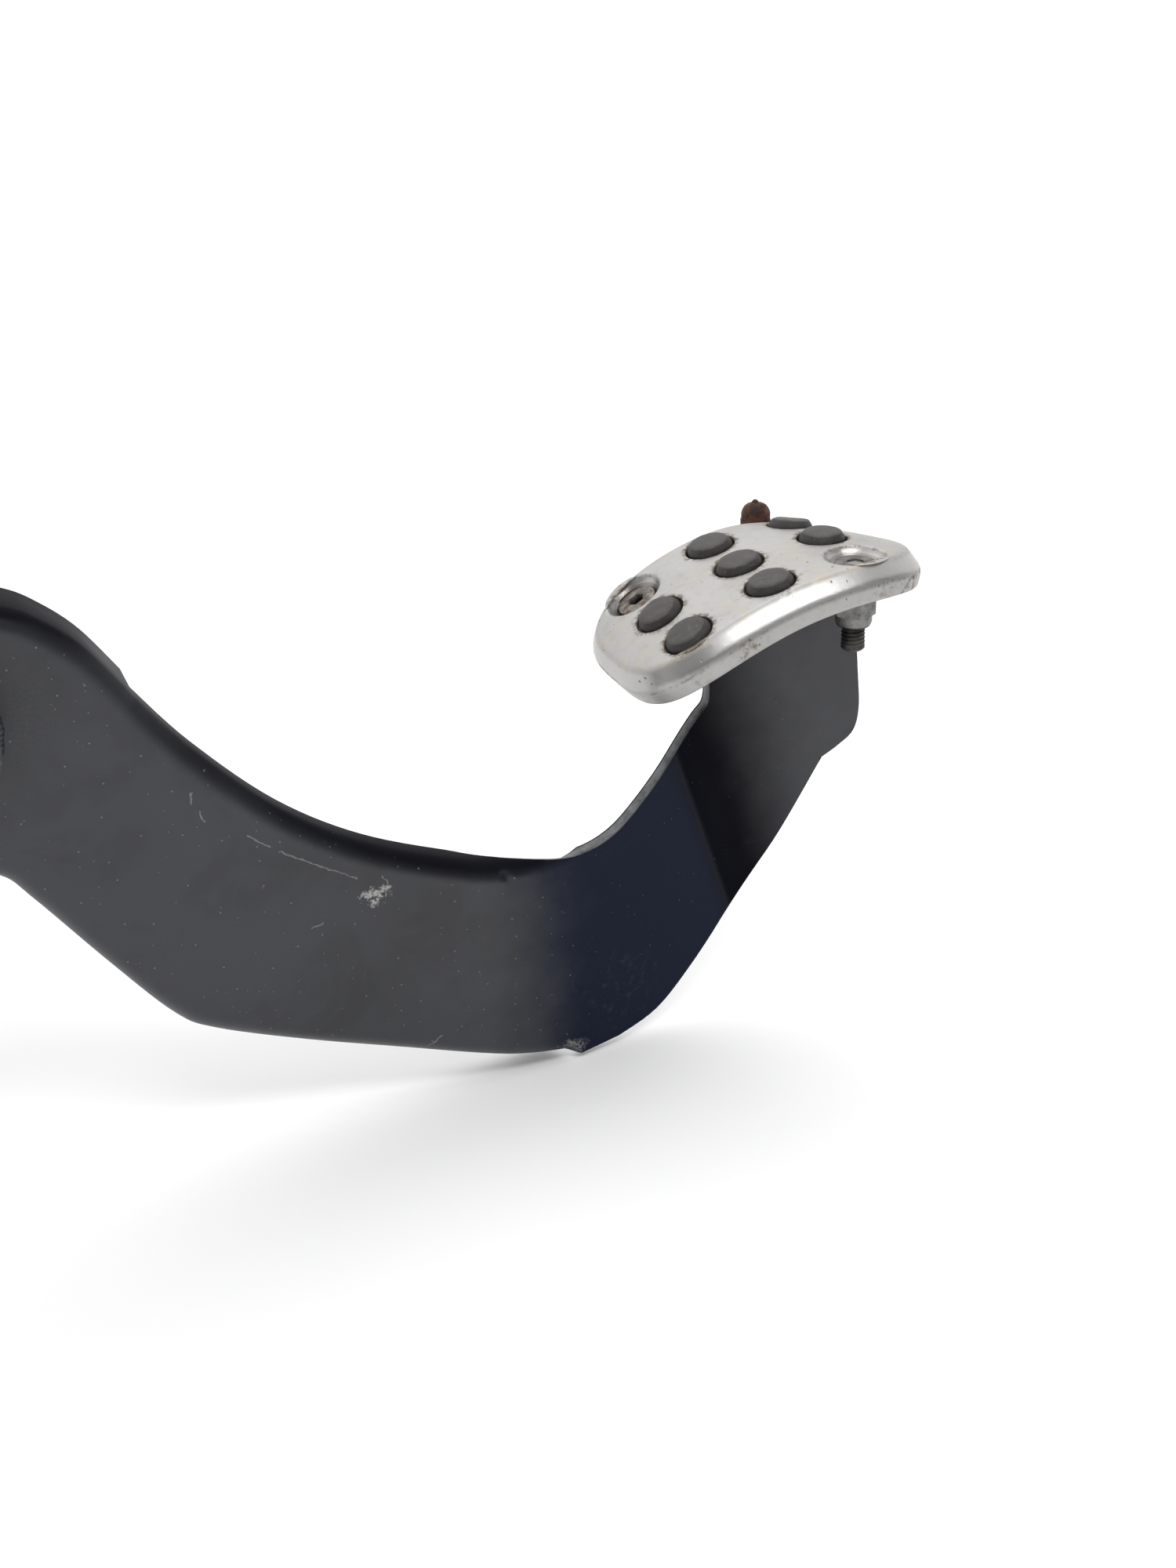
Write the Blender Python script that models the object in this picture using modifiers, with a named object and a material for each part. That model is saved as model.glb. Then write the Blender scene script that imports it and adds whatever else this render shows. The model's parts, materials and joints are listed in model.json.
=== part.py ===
"""Foot pedal assembly: pressed steel arm on a sprung pivot, with an arched aluminium pad.

Frame: +X from the chassis face to the pad, +Y away from the outer side, +Z up.
The origin is on the chassis face, level with the pivot.
"""
import math

import bmesh
import bpy
from mathutils import Matrix, Vector

MM = 0.001
GAP = 0.3                      # between touching pieces; all sizes below are in millimetres
ROUND = 24                     # sides of a turned piece

# pivot and the stack along it (y runs from the outer side to the inner side)
PIVOT_X = 58.0
BOLT_R = 5.0
SLEEVE_R = 7.7
BUSH_R = 9.7
HUB_R = 13.0
HUB_FRONT, HUB_BACK = -20.0, 16.0
BUSH_FLANGE = 1.5
EAR_FRONT, EAR_BACK = -22.6, 18.6   # inner faces of the bracket's ears

# bracket
PLATE = 4.0
BRACKET_LOW, BRACKET_HIGH = -34.0, 40.0
EAR_R = 14.0
MOUNT_HOLES = ((4.0, 31.0), (4.0, -25.0))     # y, z
MOUNT_HOLE_R = 4.25
BUMPER_Y, BUMPER_Z = -14.0, 15.0

# return spring
SPRING_R = 15.0                # coil centre line
SPRING_WIRE_R = 1.4
SPRING_HEAD_Y, SPRING_TAIL_Y = -6.2, 12.2
SPRING_TURNS = 5
SPRING_HEAD_X = 79.5

# pull rod
FORK_SLOT = 5.0
FORK_CHEEK = 3.0
FORK_HALF = 5.5
FORK_SLOT_END, FORK_END = -24.0, -38.0
ROD_R, ROD_TOP, ROD_END = 3.0, -29.0, -82.0

# arm
SHEET = 4.0
WEB_Y = -16.0                  # outer face of the web
JOGGLE = 14.0                  # how far the tab is set in from the web
BEND_R = 5.0                   # outer radius between web and flange
DOUBLER_R = 18.0
DOUBLER = 3.0
HEEL_X = 14.3
LOBE_FLANGE, UPPER_FLANGE, LOWER_FLANGE = 18.0, 10.0, 12.0
UPPER_END = 182.0              # the upper flange runs out here
BEND_X = 192.0                 # the first bend is upright, the second leans
BEND_LEAN = 0.366
CLEVIS_X, CLEVIS_Z = 28.0, -2.0
CLEVIS_PIN_R = 3.0

# pad: its own frame has s along the pad, t across it and h out of its face
PAD_X, PAD_Z = 250.0, 10.0
PAD_TILT = math.radians(-18)
PAD_ARCH = 92.5                # radius that the pad is bent to
DROOP_R, DROOP_START = 52.0, 17.0   # the inner corner falls away past this diagonal
PAD_HALF, PAD_HALF_WIDTH = 45.2, 28.5
PAD_SHIFT = 1.2
PAD_SQUARENESS = 3.3
COVER_SHEET = 2.2
SKIRT = 8.6
MAT_TOP, MAT_BOTTOM = -3.0, -6.4
SADDLE_TOP, SADDLE_BOTTOM = -6.8, -9.8
STUD_PITCH, ROW_PITCH = 24.0, 16.25
STUD_R, STUD_HOLE_R, STUD_RISE = 6.1, 6.5, 1.3
SCREW_SPOTS = ((-STUD_PITCH, ROW_PITCH), (STUD_PITCH, -ROW_PITCH))
SCREW_R = 3.0
SCREW_HEAD_R = 6.0
SCREW_END = -24.8
BOSS_R = 8.4                   # dimple of the cover round each screw
STOP_S, STOP_T = 23.0, 34.0

COLOURS = {                    # base colour, roughness, metallic
    "black_paint": ((0.055, 0.058, 0.065), 0.45, 0.0),
    "aluminium": ((0.66, 0.66, 0.64), 0.38, 1.0),
    "rubber": ((0.085, 0.078, 0.072), 0.75, 0.0),
    "zinc": ((0.50, 0.50, 0.49), 0.42, 1.0),
    "rust": ((0.10, 0.045, 0.025), 0.85, 0.3),
    "spring_steel": ((0.13, 0.13, 0.14), 0.40, 0.9),
    "bronze": ((0.42, 0.29, 0.13), 0.45, 1.0),
}


def clear_scene():
    for old in list(bpy.data.objects):
        bpy.data.objects.remove(old)


def collection(name):
    made = bpy.data.collections.new(name)
    bpy.context.scene.collection.children.link(made)
    return made


def material(name):
    made = bpy.data.materials.get(name)
    if made:
        return made
    colour, roughness, metallic = COLOURS[name]
    made = bpy.data.materials.new(name)
    made.use_nodes = True
    shader = made.node_tree.nodes["Principled BSDF"]
    shader.inputs["Base Color"].default_value = (*colour, 1)
    shader.inputs["Roughness"].default_value = roughness
    shader.inputs["Metallic"].default_value = metallic
    return made


def axis_empty(name, x, y, z, parent=None):
    empty = bpy.data.objects.new(name, None)
    empty.empty_display_size = 10 * MM
    parts.objects.link(empty)
    empty.matrix_world = Matrix.Translation(Vector((x, y, z)) * MM)
    attach(empty, parent)
    return empty


def attach(obj, parent):
    """Parent without moving the object."""
    if parent is None:
        return
    bpy.context.view_layer.update()
    world = obj.matrix_world.copy()
    obj.parent = parent
    obj.matrix_parent_inverse = parent.matrix_world.inverted()
    obj.matrix_world = world


def place(obj, name, surface, parent, spot):
    """Name the piece, give it its material and put it where spot says."""
    obj.name = name
    obj.data.name = name
    obj.data.materials.clear()
    obj.data.materials.append(material(surface))
    if obj.name not in parts.objects:
        parts.objects.link(obj)
    obj.matrix_world = spot
    attach(obj, parent)
    return obj


def hide(obj):
    cutters.objects.link(obj)
    obj.hide_render = True
    obj.display_type = 'WIRE'
    return obj


def combine(obj, tool, operation, solver='EXACT'):
    step = obj.modifiers.new(operation.lower(), 'BOOLEAN')
    step.operation = operation
    step.solver = solver
    step.object = tool


def cut(obj, tool, solver='EXACT'):
    combine(obj, tool, 'DIFFERENCE', solver)


def join(obj, tool):
    combine(obj, tool, 'UNION')


def across(x, z, y=0.0):
    """A spot whose local +Z points along world -Y, for pieces on a sideways axis."""
    return Matrix.Translation(Vector((x, y, z)) * MM) @ Matrix.Rotation(math.pi / 2, 4, 'X')


def turned(profile, closed=False, sides=ROUND):
    """Revolve (radius, height) points, top to bottom down the outer side, about local Z."""
    mesh = bpy.data.meshes.new("turned")
    shape = bmesh.new()
    verts = [shape.verts.new(Vector((r, 0, z)) * MM) for r, z in profile]
    pairs = list(zip(verts, verts[1:]))
    if closed:
        pairs.append((verts[-1], verts[0]))
    for pair in pairs:
        shape.edges.new(pair)
    shape.to_mesh(mesh)
    shape.free()
    obj = bpy.data.objects.new("turned", mesh)
    screw = obj.modifiers.new("turn", 'SCREW')
    screw.steps = sides
    screw.render_steps = sides
    screw.use_merge_vertices = True
    screw.merge_threshold = 0.00001
    screw.use_smooth_shade = True
    return obj


def ring(outer, inner, top, bottom, sides=ROUND):
    return turned([(outer, top), (outer, bottom), (inner, bottom), (inner, top)], True, sides)


def rod(radius, top, bottom, chamfer=0.0, sides=ROUND):
    profile = [(0, top), (radius - chamfer, top), (radius, top - chamfer),
               (radius, bottom + chamfer), (radius - chamfer, bottom), (0, bottom)]
    if not chamfer:
        profile = [(0, top), (radius, top), (radius, bottom), (0, bottom)]
    return turned(profile, False, sides)


def prism(flats, top, bottom, turn=0.0):
    """A hexagon bar across flats, between two heights."""
    mesh = bpy.data.meshes.new("prism")
    shape = bmesh.new()
    bmesh.ops.create_cone(shape, cap_ends=True, segments=6, radius1=flats / math.sqrt(3) * MM,
                          radius2=flats / math.sqrt(3) * MM, depth=(top - bottom) * MM)
    bmesh.ops.rotate(shape, verts=shape.verts, matrix=Matrix.Rotation(turn, 3, 'Z'))
    bmesh.ops.translate(shape, verts=shape.verts, vec=(0, 0, (top + bottom) / 2 * MM))
    shape.to_mesh(mesh)
    shape.free()
    return bpy.data.objects.new("prism", mesh)


def block(low, high):
    mesh = bpy.data.meshes.new("block")
    shape = bmesh.new()
    bmesh.ops.create_cube(shape, size=1)
    size = [b - a for a, b in zip(low, high)]
    middle = [(a + b) / 2 for a, b in zip(low, high)]
    bmesh.ops.scale(shape, verts=shape.verts, vec=Vector(size) * MM)
    bmesh.ops.translate(shape, verts=shape.verts, vec=Vector(middle) * MM)
    shape.to_mesh(mesh)
    shape.free()
    return bpy.data.objects.new("block", mesh)


def plate(points, thickness):
    """A flat outline, as a mesh that is thickness deep about local Z = 0."""
    curve = bpy.data.curves.new("outline", 'CURVE')
    curve.dimensions = '2D'
    curve.fill_mode = 'BOTH'
    curve.extrude = thickness / 2 * MM
    spline = curve.splines.new('POLY')
    spline.points.add(len(points) - 1)
    for point, (u, v) in zip(spline.points, points):
        point.co = (u * MM, v * MM, 0, 1)
    spline.use_cyclic_u = True
    flat = bpy.data.objects.new("outline", curve)
    bpy.context.scene.collection.objects.link(flat)
    graph = bpy.context.evaluated_depsgraph_get()
    mesh = bpy.data.meshes.new_from_object(flat.evaluated_get(graph))
    bpy.data.objects.remove(flat)
    shape = bmesh.new()
    shape.from_mesh(mesh)
    bmesh.ops.remove_doubles(shape, verts=shape.verts, dist=0.00001)
    bmesh.ops.recalc_face_normals(shape, faces=shape.faces)
    shape.to_mesh(mesh)
    shape.free()
    return bpy.data.objects.new("plate", mesh)


def arc(centre, radius, start, stop, count):
    """Points on an arc, angles in degrees, both ends included."""
    angles = [math.radians(start + (stop - start) * i / count) for i in range(count + 1)]
    return [(centre[0] + radius * math.cos(a), centre[1] + radius * math.sin(a)) for a in angles]


def smooth(points, steps):
    """A Catmull-Rom curve through the points, with steps stretches between each two."""
    ends = [points[0]] + list(points) + [points[-1]]
    curve = []
    for p0, p1, p2, p3 in zip(ends, ends[1:], ends[2:], ends[3:]):
        for i in range(steps):
            u = i / steps
            curve.append(tuple(
                0.5 * (2 * b + (c - a) * u + (2 * a - 5 * b + 4 * c - d) * u * u
                       + (3 * b - a - 3 * c + d) * u ** 3)
                for a, b, c, d in zip(p0, p1, p2, p3)))
    return curve + [points[-1]]


def split(shape, point, normal):
    """Cut a sheet along a plane, through the corners that already lie near it."""
    bmesh.ops.bisect_plane(shape, geom=shape.verts[:] + shape.edges[:] + shape.faces[:], dist=0.5,
                           plane_co=point, plane_no=Vector(normal).normalized())


def shade(obj, angle=35):
    obj.data.shade_smooth()
    obj.data.set_sharp_from_angle(angle=math.radians(angle))


# ---- pad frame ----

def pad_point(s, t, h):
    """A point over the arched pad, in the pad's own frame."""
    past = max(0.0, (s + t) / math.sqrt(2) - DROOP_START)
    radius = PAD_ARCH + h - past * past / (2 * DROOP_R)
    angle = s / PAD_ARCH
    return Vector((radius * math.sin(angle), t, radius * math.cos(angle) - PAD_ARCH))


def pad_spot(s, t):
    """The pose of something that stands square on the pad at s, t."""
    rise = Matrix.Translation(pad_point(s, t, 0) * MM) @ Matrix.Rotation(s / PAD_ARCH, 4, 'Y')
    return pad_axis.matrix_world @ rise


def pad_outline(inset, count=40):
    """The pad's rounded outline, drawn in by inset."""
    points = []
    for i in range(count):
        angle = 2 * math.pi * i / count
        c, d = math.cos(angle), math.sin(angle)
        s = math.copysign(abs(c) ** (2 / PAD_SQUARENESS), c) * (PAD_HALF - inset)
        t = math.copysign(abs(d) ** (2 / PAD_SQUARENESS), d) * (PAD_HALF_WIDTH - inset)
        points.append((s + PAD_SHIFT, t))
    return points


def pad_sheet(rings, steps=12):
    """An open sheet with rings of (inset, height) under a closed top, bent to the arch."""
    mesh = bpy.data.meshes.new("sheet")
    shape = bmesh.new()
    loops = []
    for inset, height in rings:
        loop = [shape.verts.new((s, t, height)) for s, t in pad_outline(inset)]
        loops.append([shape.edges.new(pair) for pair in zip(loop, loop[1:] + loop[:1])])
        if len(loops) == 1:
            shape.faces.new(loop)
    for inner, outer in zip(loops, loops[1:]):
        bmesh.ops.bridge_loops(shape, edges=inner + outer)
    for i in range(1, steps):
        at = PAD_SHIFT + PAD_HALF * (2 * i / steps - 1)
        split(shape, (at, 0, 0), (1, 0, 0))
    for offset in (0, 8, 16):
        corner = (DROOP_START + offset) * math.sqrt(2)
        split(shape, (corner, 0, 0), (1, 1, 0))
    for vert in shape.verts:
        vert.co = pad_point(*vert.co) * MM
    bmesh.ops.recalc_face_normals(shape, faces=shape.faces)
    if sum(face.normal.z * face.calc_area() for face in shape.faces) < 0:
        bmesh.ops.reverse_faces(shape, faces=shape.faces)
    shape.to_mesh(mesh)
    shape.free()
    return bpy.data.objects.new("sheet", mesh)


def thicken(obj, thickness):
    step = obj.modifiers.new("thickness", 'SOLIDIFY')
    step.thickness = thickness * MM
    step.offset = -1
    step.use_even_offset = True


def with_thickness(shape, thickness):
    """Close an open sheet of bmesh faces, drawn in millimetres, behind its outer side."""
    mesh = bpy.data.meshes.new("sheet")
    shape.to_mesh(mesh)
    sheet = bpy.data.objects.new("sheet", mesh)
    bpy.context.scene.collection.objects.link(sheet)
    thicken(sheet, thickness / MM)
    graph = bpy.context.evaluated_depsgraph_get()
    shape.clear()
    shape.from_mesh(sheet.evaluated_get(graph).data)
    bpy.data.objects.remove(sheet)


def pad_cutter(shape, s, t):
    tool = hide(shape)
    tool.matrix_world = pad_spot(s, t)
    attach(tool, pad_axis)
    return tool


def stud_spots():
    spots = [(i * STUD_PITCH, j * ROW_PITCH) for i in (-1, 0, 1) for j in (-1, 0, 1)]
    return [spot for spot in spots if spot not in SCREW_SPOTS]


def make_pad_cover():
    rings = [(3.6, 0), (1.5, -0.9), (0.3, -2.6), (0, -4.2), (0, -SKIRT)]
    cover = pad_sheet(rings)
    thicken(cover, COVER_SHEET)
    for s, t in SCREW_SPOTS:
        boss = rod(BOSS_R, -1.2, MAT_BOTTOM, sides=20)
        join(cover, pad_cutter(boss, s, t))
    for s, t in SCREW_SPOTS:
        recess = turned([(0, 3), (7.0, 3), (7.0, -0.4), (6.4, -1.1), (3.4, -4.5), (3.4, -9), (0, -9)],
                        sides=18)
        cut(cover, pad_cutter(recess, s, t), 'MANIFOLD')
    for s, t in stud_spots():
        cut(cover, pad_cutter(rod(STUD_HOLE_R, 4, -5, sides=20), s, t), 'MANIFOLD')
    place(cover, "pad_cover", "aluminium", pad_axis, pad_axis.matrix_world.copy())
    shade(cover)


def make_rubber_insert():
    mat = pad_sheet([(COVER_SHEET + 1.8, MAT_TOP)])
    thicken(mat, MAT_TOP - MAT_BOTTOM)
    for s, t in stud_spots():
        stud = turned([(0, STUD_RISE), (STUD_R - 2.6, STUD_RISE - 0.1), (STUD_R - 0.7, STUD_RISE - 0.7),
                       (STUD_R, STUD_RISE - 1.7), (STUD_R, MAT_TOP - 1.5), (0, MAT_TOP - 1.5)], sides=20)
        join(mat, pad_cutter(stud, s, t))
    for s, t in SCREW_SPOTS:
        cut(mat, pad_cutter(rod(BOSS_R + 2 * GAP, 3, -12, sides=20), s, t))
    place(mat, "rubber_insert", "rubber", pad_axis, pad_axis.matrix_world.copy())
    shade(mat)


def make_pad_saddle():
    saddle = pad_sheet([(5.0, SADDLE_TOP)])
    thicken(saddle, SADDLE_TOP - SADDLE_BOTTOM)
    for s, t in SCREW_SPOTS:
        cut(saddle, pad_cutter(rod(SCREW_R + GAP, 3, -15, sides=16), s, t))
    place(saddle, "pad_saddle", "black_paint", pad_axis, pad_axis.matrix_world.copy())
    shade(saddle)


def make_pad_screws():
    for side, (s, t) in zip(("rear", "front"), SCREW_SPOTS):
        screw = turned([(0, -1.0), (SCREW_HEAD_R, -1.0), (SCREW_HEAD_R, -1.3), (SCREW_R, -4.5),
                        (SCREW_R, SCREW_END + 0.7), (SCREW_R - 0.7, SCREW_END), (0, SCREW_END)], sides=16)
        cut(screw, pad_cutter(prism(4.0, 1, -3.4), s, t))
        place(screw, f"pad_screw_{side}", "zinc", pad_axis, pad_spot(s, t))
        top = SADDLE_BOTTOM - GAP
        nut = prism(10.0, top, top - 5, turn=0.2)
        collar = rod(4.6, top - 4, top - 8, 0.6, 16)
        join(nut, pad_cutter(collar, s, t))
        cut(nut, pad_cutter(rod(SCREW_R + GAP, 0, -40, sides=16), s, t))
        place(nut, f"pad_nut_{side}", "zinc", pad_axis, pad_spot(s, t))


def stop_spot():
    """Square on the pad's arch at the stop, beyond the pad's inner edge."""
    angle = STOP_S / PAD_ARCH
    base = Vector((PAD_ARCH * math.sin(angle), STOP_T, PAD_ARCH * (math.cos(angle) - 1)))
    return pad_axis.matrix_world @ Matrix.Translation(base * MM) @ Matrix.Rotation(angle, 4, 'Y')


def make_stop():
    """The domed stop behind the pad, on a tongue welded to the tab."""
    top = -14.5
    low = 2.5
    tongue = plate([(-6, 2 + GAP - STOP_T), (6, 2 + GAP - STOP_T)] + arc((0, 0), 6, 0, 180, 10), low)
    hole = rod(2.5 + GAP, 0, -40, sides=16)
    cut(tongue, pad_cutter(hole, STOP_S, STOP_T))
    flat = stop_spot()
    place(tongue, "stop_lug", "black_paint", pad_axis,
          flat @ Matrix.Translation((0, 0, (top - low / 2) * MM)))
    hole.matrix_world = flat
    bolt = rod(2.5, -1.5, top - low - 1.5, 0.4, 16)
    head = hide(prism(8.0, top - low - GAP, top - low - 3.8))
    head.matrix_world = flat
    join(bolt, head)
    place(bolt, "stop_bolt", "rust", pad_axis, flat)
    nut = prism(8.0, top + 3.2, top + GAP, turn=0.3)
    bore = hide(rod(2.5 + GAP, 0, -30, sides=16))
    bore.matrix_world = flat
    cut(nut, bore)
    place(nut, "stop_nut", "rust", pad_axis, flat)
    cap = prism(8.0, -4.2, -9.2, turn=0.1)
    dome = hide(turned([(0, 1.2), (0.7, 1.1), (0.9, 0.5), (2.3, 0.1), (3.5, -1.2), (4.0, -2.8),
                        (4.0, -5.5), (0, -5.5)], sides=16))
    dome.matrix_world = flat
    join(cap, dome)
    blind = hide(rod(2.5 + GAP, -1.1, -30, sides=16))
    blind.matrix_world = flat
    cut(cap, blind)
    place(cap, "stop_cap_nut", "rust", pad_axis, flat)


# ---- arm ----

def bend_end(z):
    """Where the second bend's leaning line is at height z."""
    return 223.8 - BEND_LEAN * z


def set_in(x, z):
    """How far the sheet is set in at x, z: a ramp between two rolled bends."""
    soft = 0.16
    u = (x - BEND_X) / (bend_end(z) - BEND_X)
    if u <= -soft:
        return 0.0
    if u < soft:
        return JOGGLE * (u + soft) ** 2 / (4 * soft)
    if u <= 1 - soft:
        return JOGGLE * u
    if u < 1 + soft:
        return JOGGLE * (1 - (1 + soft - u) ** 2 / (4 * soft))
    return JOGGLE


def pad_to_arm(s, h):
    """A point under the pad's centre line, as x, z of the whole pedal."""
    spot = pad_axis.matrix_world @ (pad_point(s, 0, h) * MM) / MM
    return spot.x, spot.z


LOBE_TOP = [(40, 23.5), (52, 27), (65, 27.6), (77.3, 24.6), (84.5, 20.3), (91.6, 13.7), (99, 3.3)]
UPPER_EDGE = [(99.8, 1.9), (110.9, -12.5), (128.7, -30.3), (148.3, -43), (171.5, -52.2), (182, -54.3)]
INNER_EDGE = [(192, -55), (202.5, -56), (211, -54.4), (218.5, -50), (229.3, -40.7), (238.9, -29.6),
              (242.1, -25.2), (241.6, -17), (239.2, -9)]
LOWER_EDGE = [(58, -32.5), (67.4, -34.8), (73.5, -42.1), (87, -61.2), (99.5, -77.6), (108.5, -84.3),
              (131, -93.6), (154.4, -102), (181.4, -111.3), (202, -115.4)]
OUTER_EDGE = [(214, -114.2), (226, -110.2), (236.5, -101.5), (248.5, -88.5), (263.6, -69.4), (275.6, -49)]
SHOULDER = [(277, -46.6), (281.8, -43.9), (286.2, -40.2), (287.4, -33.5), (286, -22), (283.4, -3)]


def arm_outline():
    """Anticlockwise from the clevis ear. Returns the points and the two flanged runs of them."""
    ear = arc((CLEVIS_X, CLEVIS_Z), 10, 180, 245, 4)
    lower = smooth(LOWER_EDGE, 3)
    right = smooth(OUTER_EDGE, 3) + smooth(SHOULDER, 2)
    under_pad = [pad_to_arm(s, SADDLE_BOTTOM - GAP) for s in range(27, -17, -6)]
    inner = smooth(INNER_EDGE, 2)[::-1]
    upper = smooth(UPPER_EDGE, 3)[::-1]
    lobe = smooth(LOBE_TOP, 2)[::-1]
    heel = [(20, 23), (HEEL_X + 2, 22), (HEEL_X, 20), (HEEL_X, 8), (17, 3)]
    points = ear + [(36, -17), (46, -25)] + lower + right + under_pad + inner + upper + lobe + heel
    return points, set(lower[1:]), set(upper), set(lobe)


def flange_depth(x, upper, lobe):
    if lobe:
        return LOBE_FLANGE
    if upper:
        return UPPER_FLANGE * min(1.0, (UPPER_END - x) / 22 + 0.5)
    return LOWER_FLANGE * min(1.0, (x - 50) / 14)


def make_arm():
    points, low_run, top_run, lobe_run = arm_outline()
    shape = bmesh.new()
    verts = [shape.verts.new((x, 0, z)) for x, z in points]
    web = shape.faces.new(verts)
    web.normal_update()
    if web.normal.y > 0:
        bmesh.ops.reverse_faces(shape, faces=[web])
    runs = {}
    for vert, point in zip(verts, points):
        for label, run in (("low", low_run), ("top", top_run), ("lobe", lobe_run)):
            if point in run:
                runs[vert] = label
    rims = []
    for label in ("low", "top", "lobe"):
        edges = [e for e in shape.edges if all(runs.get(v) == label for v in e.verts)]
        made = bmesh.ops.extrude_edge_only(shape, edges=edges)
        for vert in [g for g in made["geom"] if isinstance(g, bmesh.types.BMVert)]:
            vert.co.y += flange_depth(vert.co.x, label == "top", label == "lobe")
        rims += edges
    bmesh.ops.bevel(shape, geom=rims, offset=BEND_R, offset_type='OFFSET', segments=3,
                    profile=0.5, affect='EDGES', clamp_overlap=True)
    bmesh.ops.recalc_face_normals(shape, faces=shape.faces)
    largest = max(shape.faces, key=lambda face: face.calc_area())
    if largest.normal.y > 0:
        bmesh.ops.reverse_faces(shape, faces=shape.faces)
    with_thickness(shape, SHEET)
    inner_web = max((face for face in shape.faces if face.normal.y > 0.9), key=lambda face: face.calc_area())
    for vert in inner_web.verts:
        vert.co.y = SHEET
    for step in (-8, -4, 0, 4, 8):
        split(shape, (BEND_X + step, 0, 0), (1, 0, 0))
        split(shape, (bend_end(0) + step, 0, 0), (1, 0, BEND_LEAN))
    flat = sorted(shape.faces, key=lambda face: face.calc_area())[-2:]
    bmesh.ops.triangulate(shape, faces=[face for face in shape.faces if face not in flat])
    for vert in shape.verts:
        rise = WEB_Y + set_in(vert.co.x, vert.co.z)
        vert.co = Vector((vert.co.x, vert.co.y + rise, vert.co.z)) * MM
    mesh = bpy.data.meshes.new("arm")
    shape.to_mesh(mesh)
    shape.free()
    arm = bpy.data.objects.new("arm", mesh)
    bore = hide(rod(HUB_R + GAP, 30, 0))
    bore.matrix_world = across(PIVOT_X, 0)
    attach(bore, pedal_axis)
    cut(arm, bore)
    eye = hide(rod(CLEVIS_PIN_R + GAP, 30, 0, sides=16))
    eye.matrix_world = across(CLEVIS_X, CLEVIS_Z)
    attach(eye, pedal_axis)
    cut(arm, eye)
    place(arm, "pedal_arm", "black_paint", pedal_axis, Matrix.Identity(4))
    shade(arm)


# ---- pivot ----

def make_hub():
    hub = ring(HUB_R, BUSH_R + GAP, -HUB_FRONT, -HUB_BACK, 32)
    place(hub, "hub_tube", "black_paint", pedal_axis, across(PIVOT_X, 0))
    back = WEB_Y + SHEET + 2 * GAP
    doubler = ring(DOUBLER_R, HUB_R + GAP, -back, -(back + DOUBLER), 32)
    place(doubler, "hub_doubler", "black_paint", pedal_axis, across(PIVOT_X, 0))
    for side, end, way in (("front", -HUB_FRONT + GAP, 1), ("rear", -HUB_BACK - GAP, -1)):
        profile = [(12.5, end + way * BUSH_FLANGE), (12.5, end), (BUSH_R, end), (BUSH_R, end - way * 12),
                   (SLEEVE_R + GAP, end - way * 12), (SLEEVE_R + GAP, end + way * BUSH_FLANGE)]
        bush = turned(profile if way > 0 else profile[::-1], True)
        place(bush, f"bush_{side}", "bronze", pedal_axis, across(PIVOT_X, 0))


def make_pivot():
    spot = across(PIVOT_X, 0)
    sleeve = ring(SLEEVE_R, BOLT_R + GAP, -EAR_FRONT - GAP, -EAR_BACK + GAP)
    place(sleeve, "pivot_sleeve", "zinc", None, spot)
    front = -EAR_FRONT + PLATE
    back = -EAR_BACK - PLATE
    place(ring(10, BOLT_R + GAP, front + GAP + 1.6, front + GAP), "pivot_washer_front", "zinc", None, spot)
    place(ring(10, BOLT_R + GAP, back - GAP, back - GAP - 1.6), "pivot_washer_rear", "zinc", None, spot)
    head = front + 2 * GAP + 1.6
    end = back - 14
    bolt = rod(BOLT_R, head + 2, end, 0.8)
    hexagon = hide(prism(16, head + 6.4, head))
    hexagon.matrix_world = spot
    join(bolt, hexagon)
    place(bolt, "pivot_bolt", "zinc", None, spot)
    top = back - 2 * GAP - 1.6
    nut = prism(16, top, top - 6.5, turn=0.4)
    collar = hide(rod(7.6, top - 5, top - 10, 0.8))
    collar.matrix_world = spot
    join(nut, collar)
    bore = hide(rod(BOLT_R + GAP, 0, -60))
    bore.matrix_world = spot
    cut(nut, bore)
    place(nut, "pivot_nut", "zinc", None, spot)


def bracket_outline():
    nose = arc((PIVOT_X, 0), EAR_R, -62, 62, 10)
    return [(0, BRACKET_LOW), (16, BRACKET_LOW)] + nose + [(16, BRACKET_HIGH), (0, BRACKET_HIGH)]


def make_bracket():
    """A U of plate: the outline at full width, with the space between the ears cut out."""
    outer, inner = EAR_FRONT - PLATE, EAR_BACK + PLATE
    bracket = plate(bracket_outline(), inner - outer)
    space = hide(block((PLATE, EAR_FRONT, -60), (90, EAR_BACK, 60)))
    cut(bracket, space)
    bore = hide(rod(BOLT_R + GAP, 60, -60))
    bore.matrix_world = across(PIVOT_X, 0)
    cut(bracket, bore)
    holes = [(MOUNT_HOLE_R, y, z) for y, z in MOUNT_HOLES]
    holes += [(3.3, BUMPER_Y, BUMPER_Z), (SPRING_WIRE_R + 0.6, SPRING_TAIL_Y, SPRING_R)]
    for radius, y, z in holes:
        hole = hide(rod(radius, 10, -10, sides=16))
        hole.matrix_world = (Matrix.Translation(Vector((0, y, z)) * MM)
                             @ Matrix.Rotation(math.pi / 2, 4, 'Y'))
        cut(bracket, hole)
    place(bracket, "pivot_bracket", "black_paint", None, across(0, 0, (outer + inner) / 2))
    shade(bracket)


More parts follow.
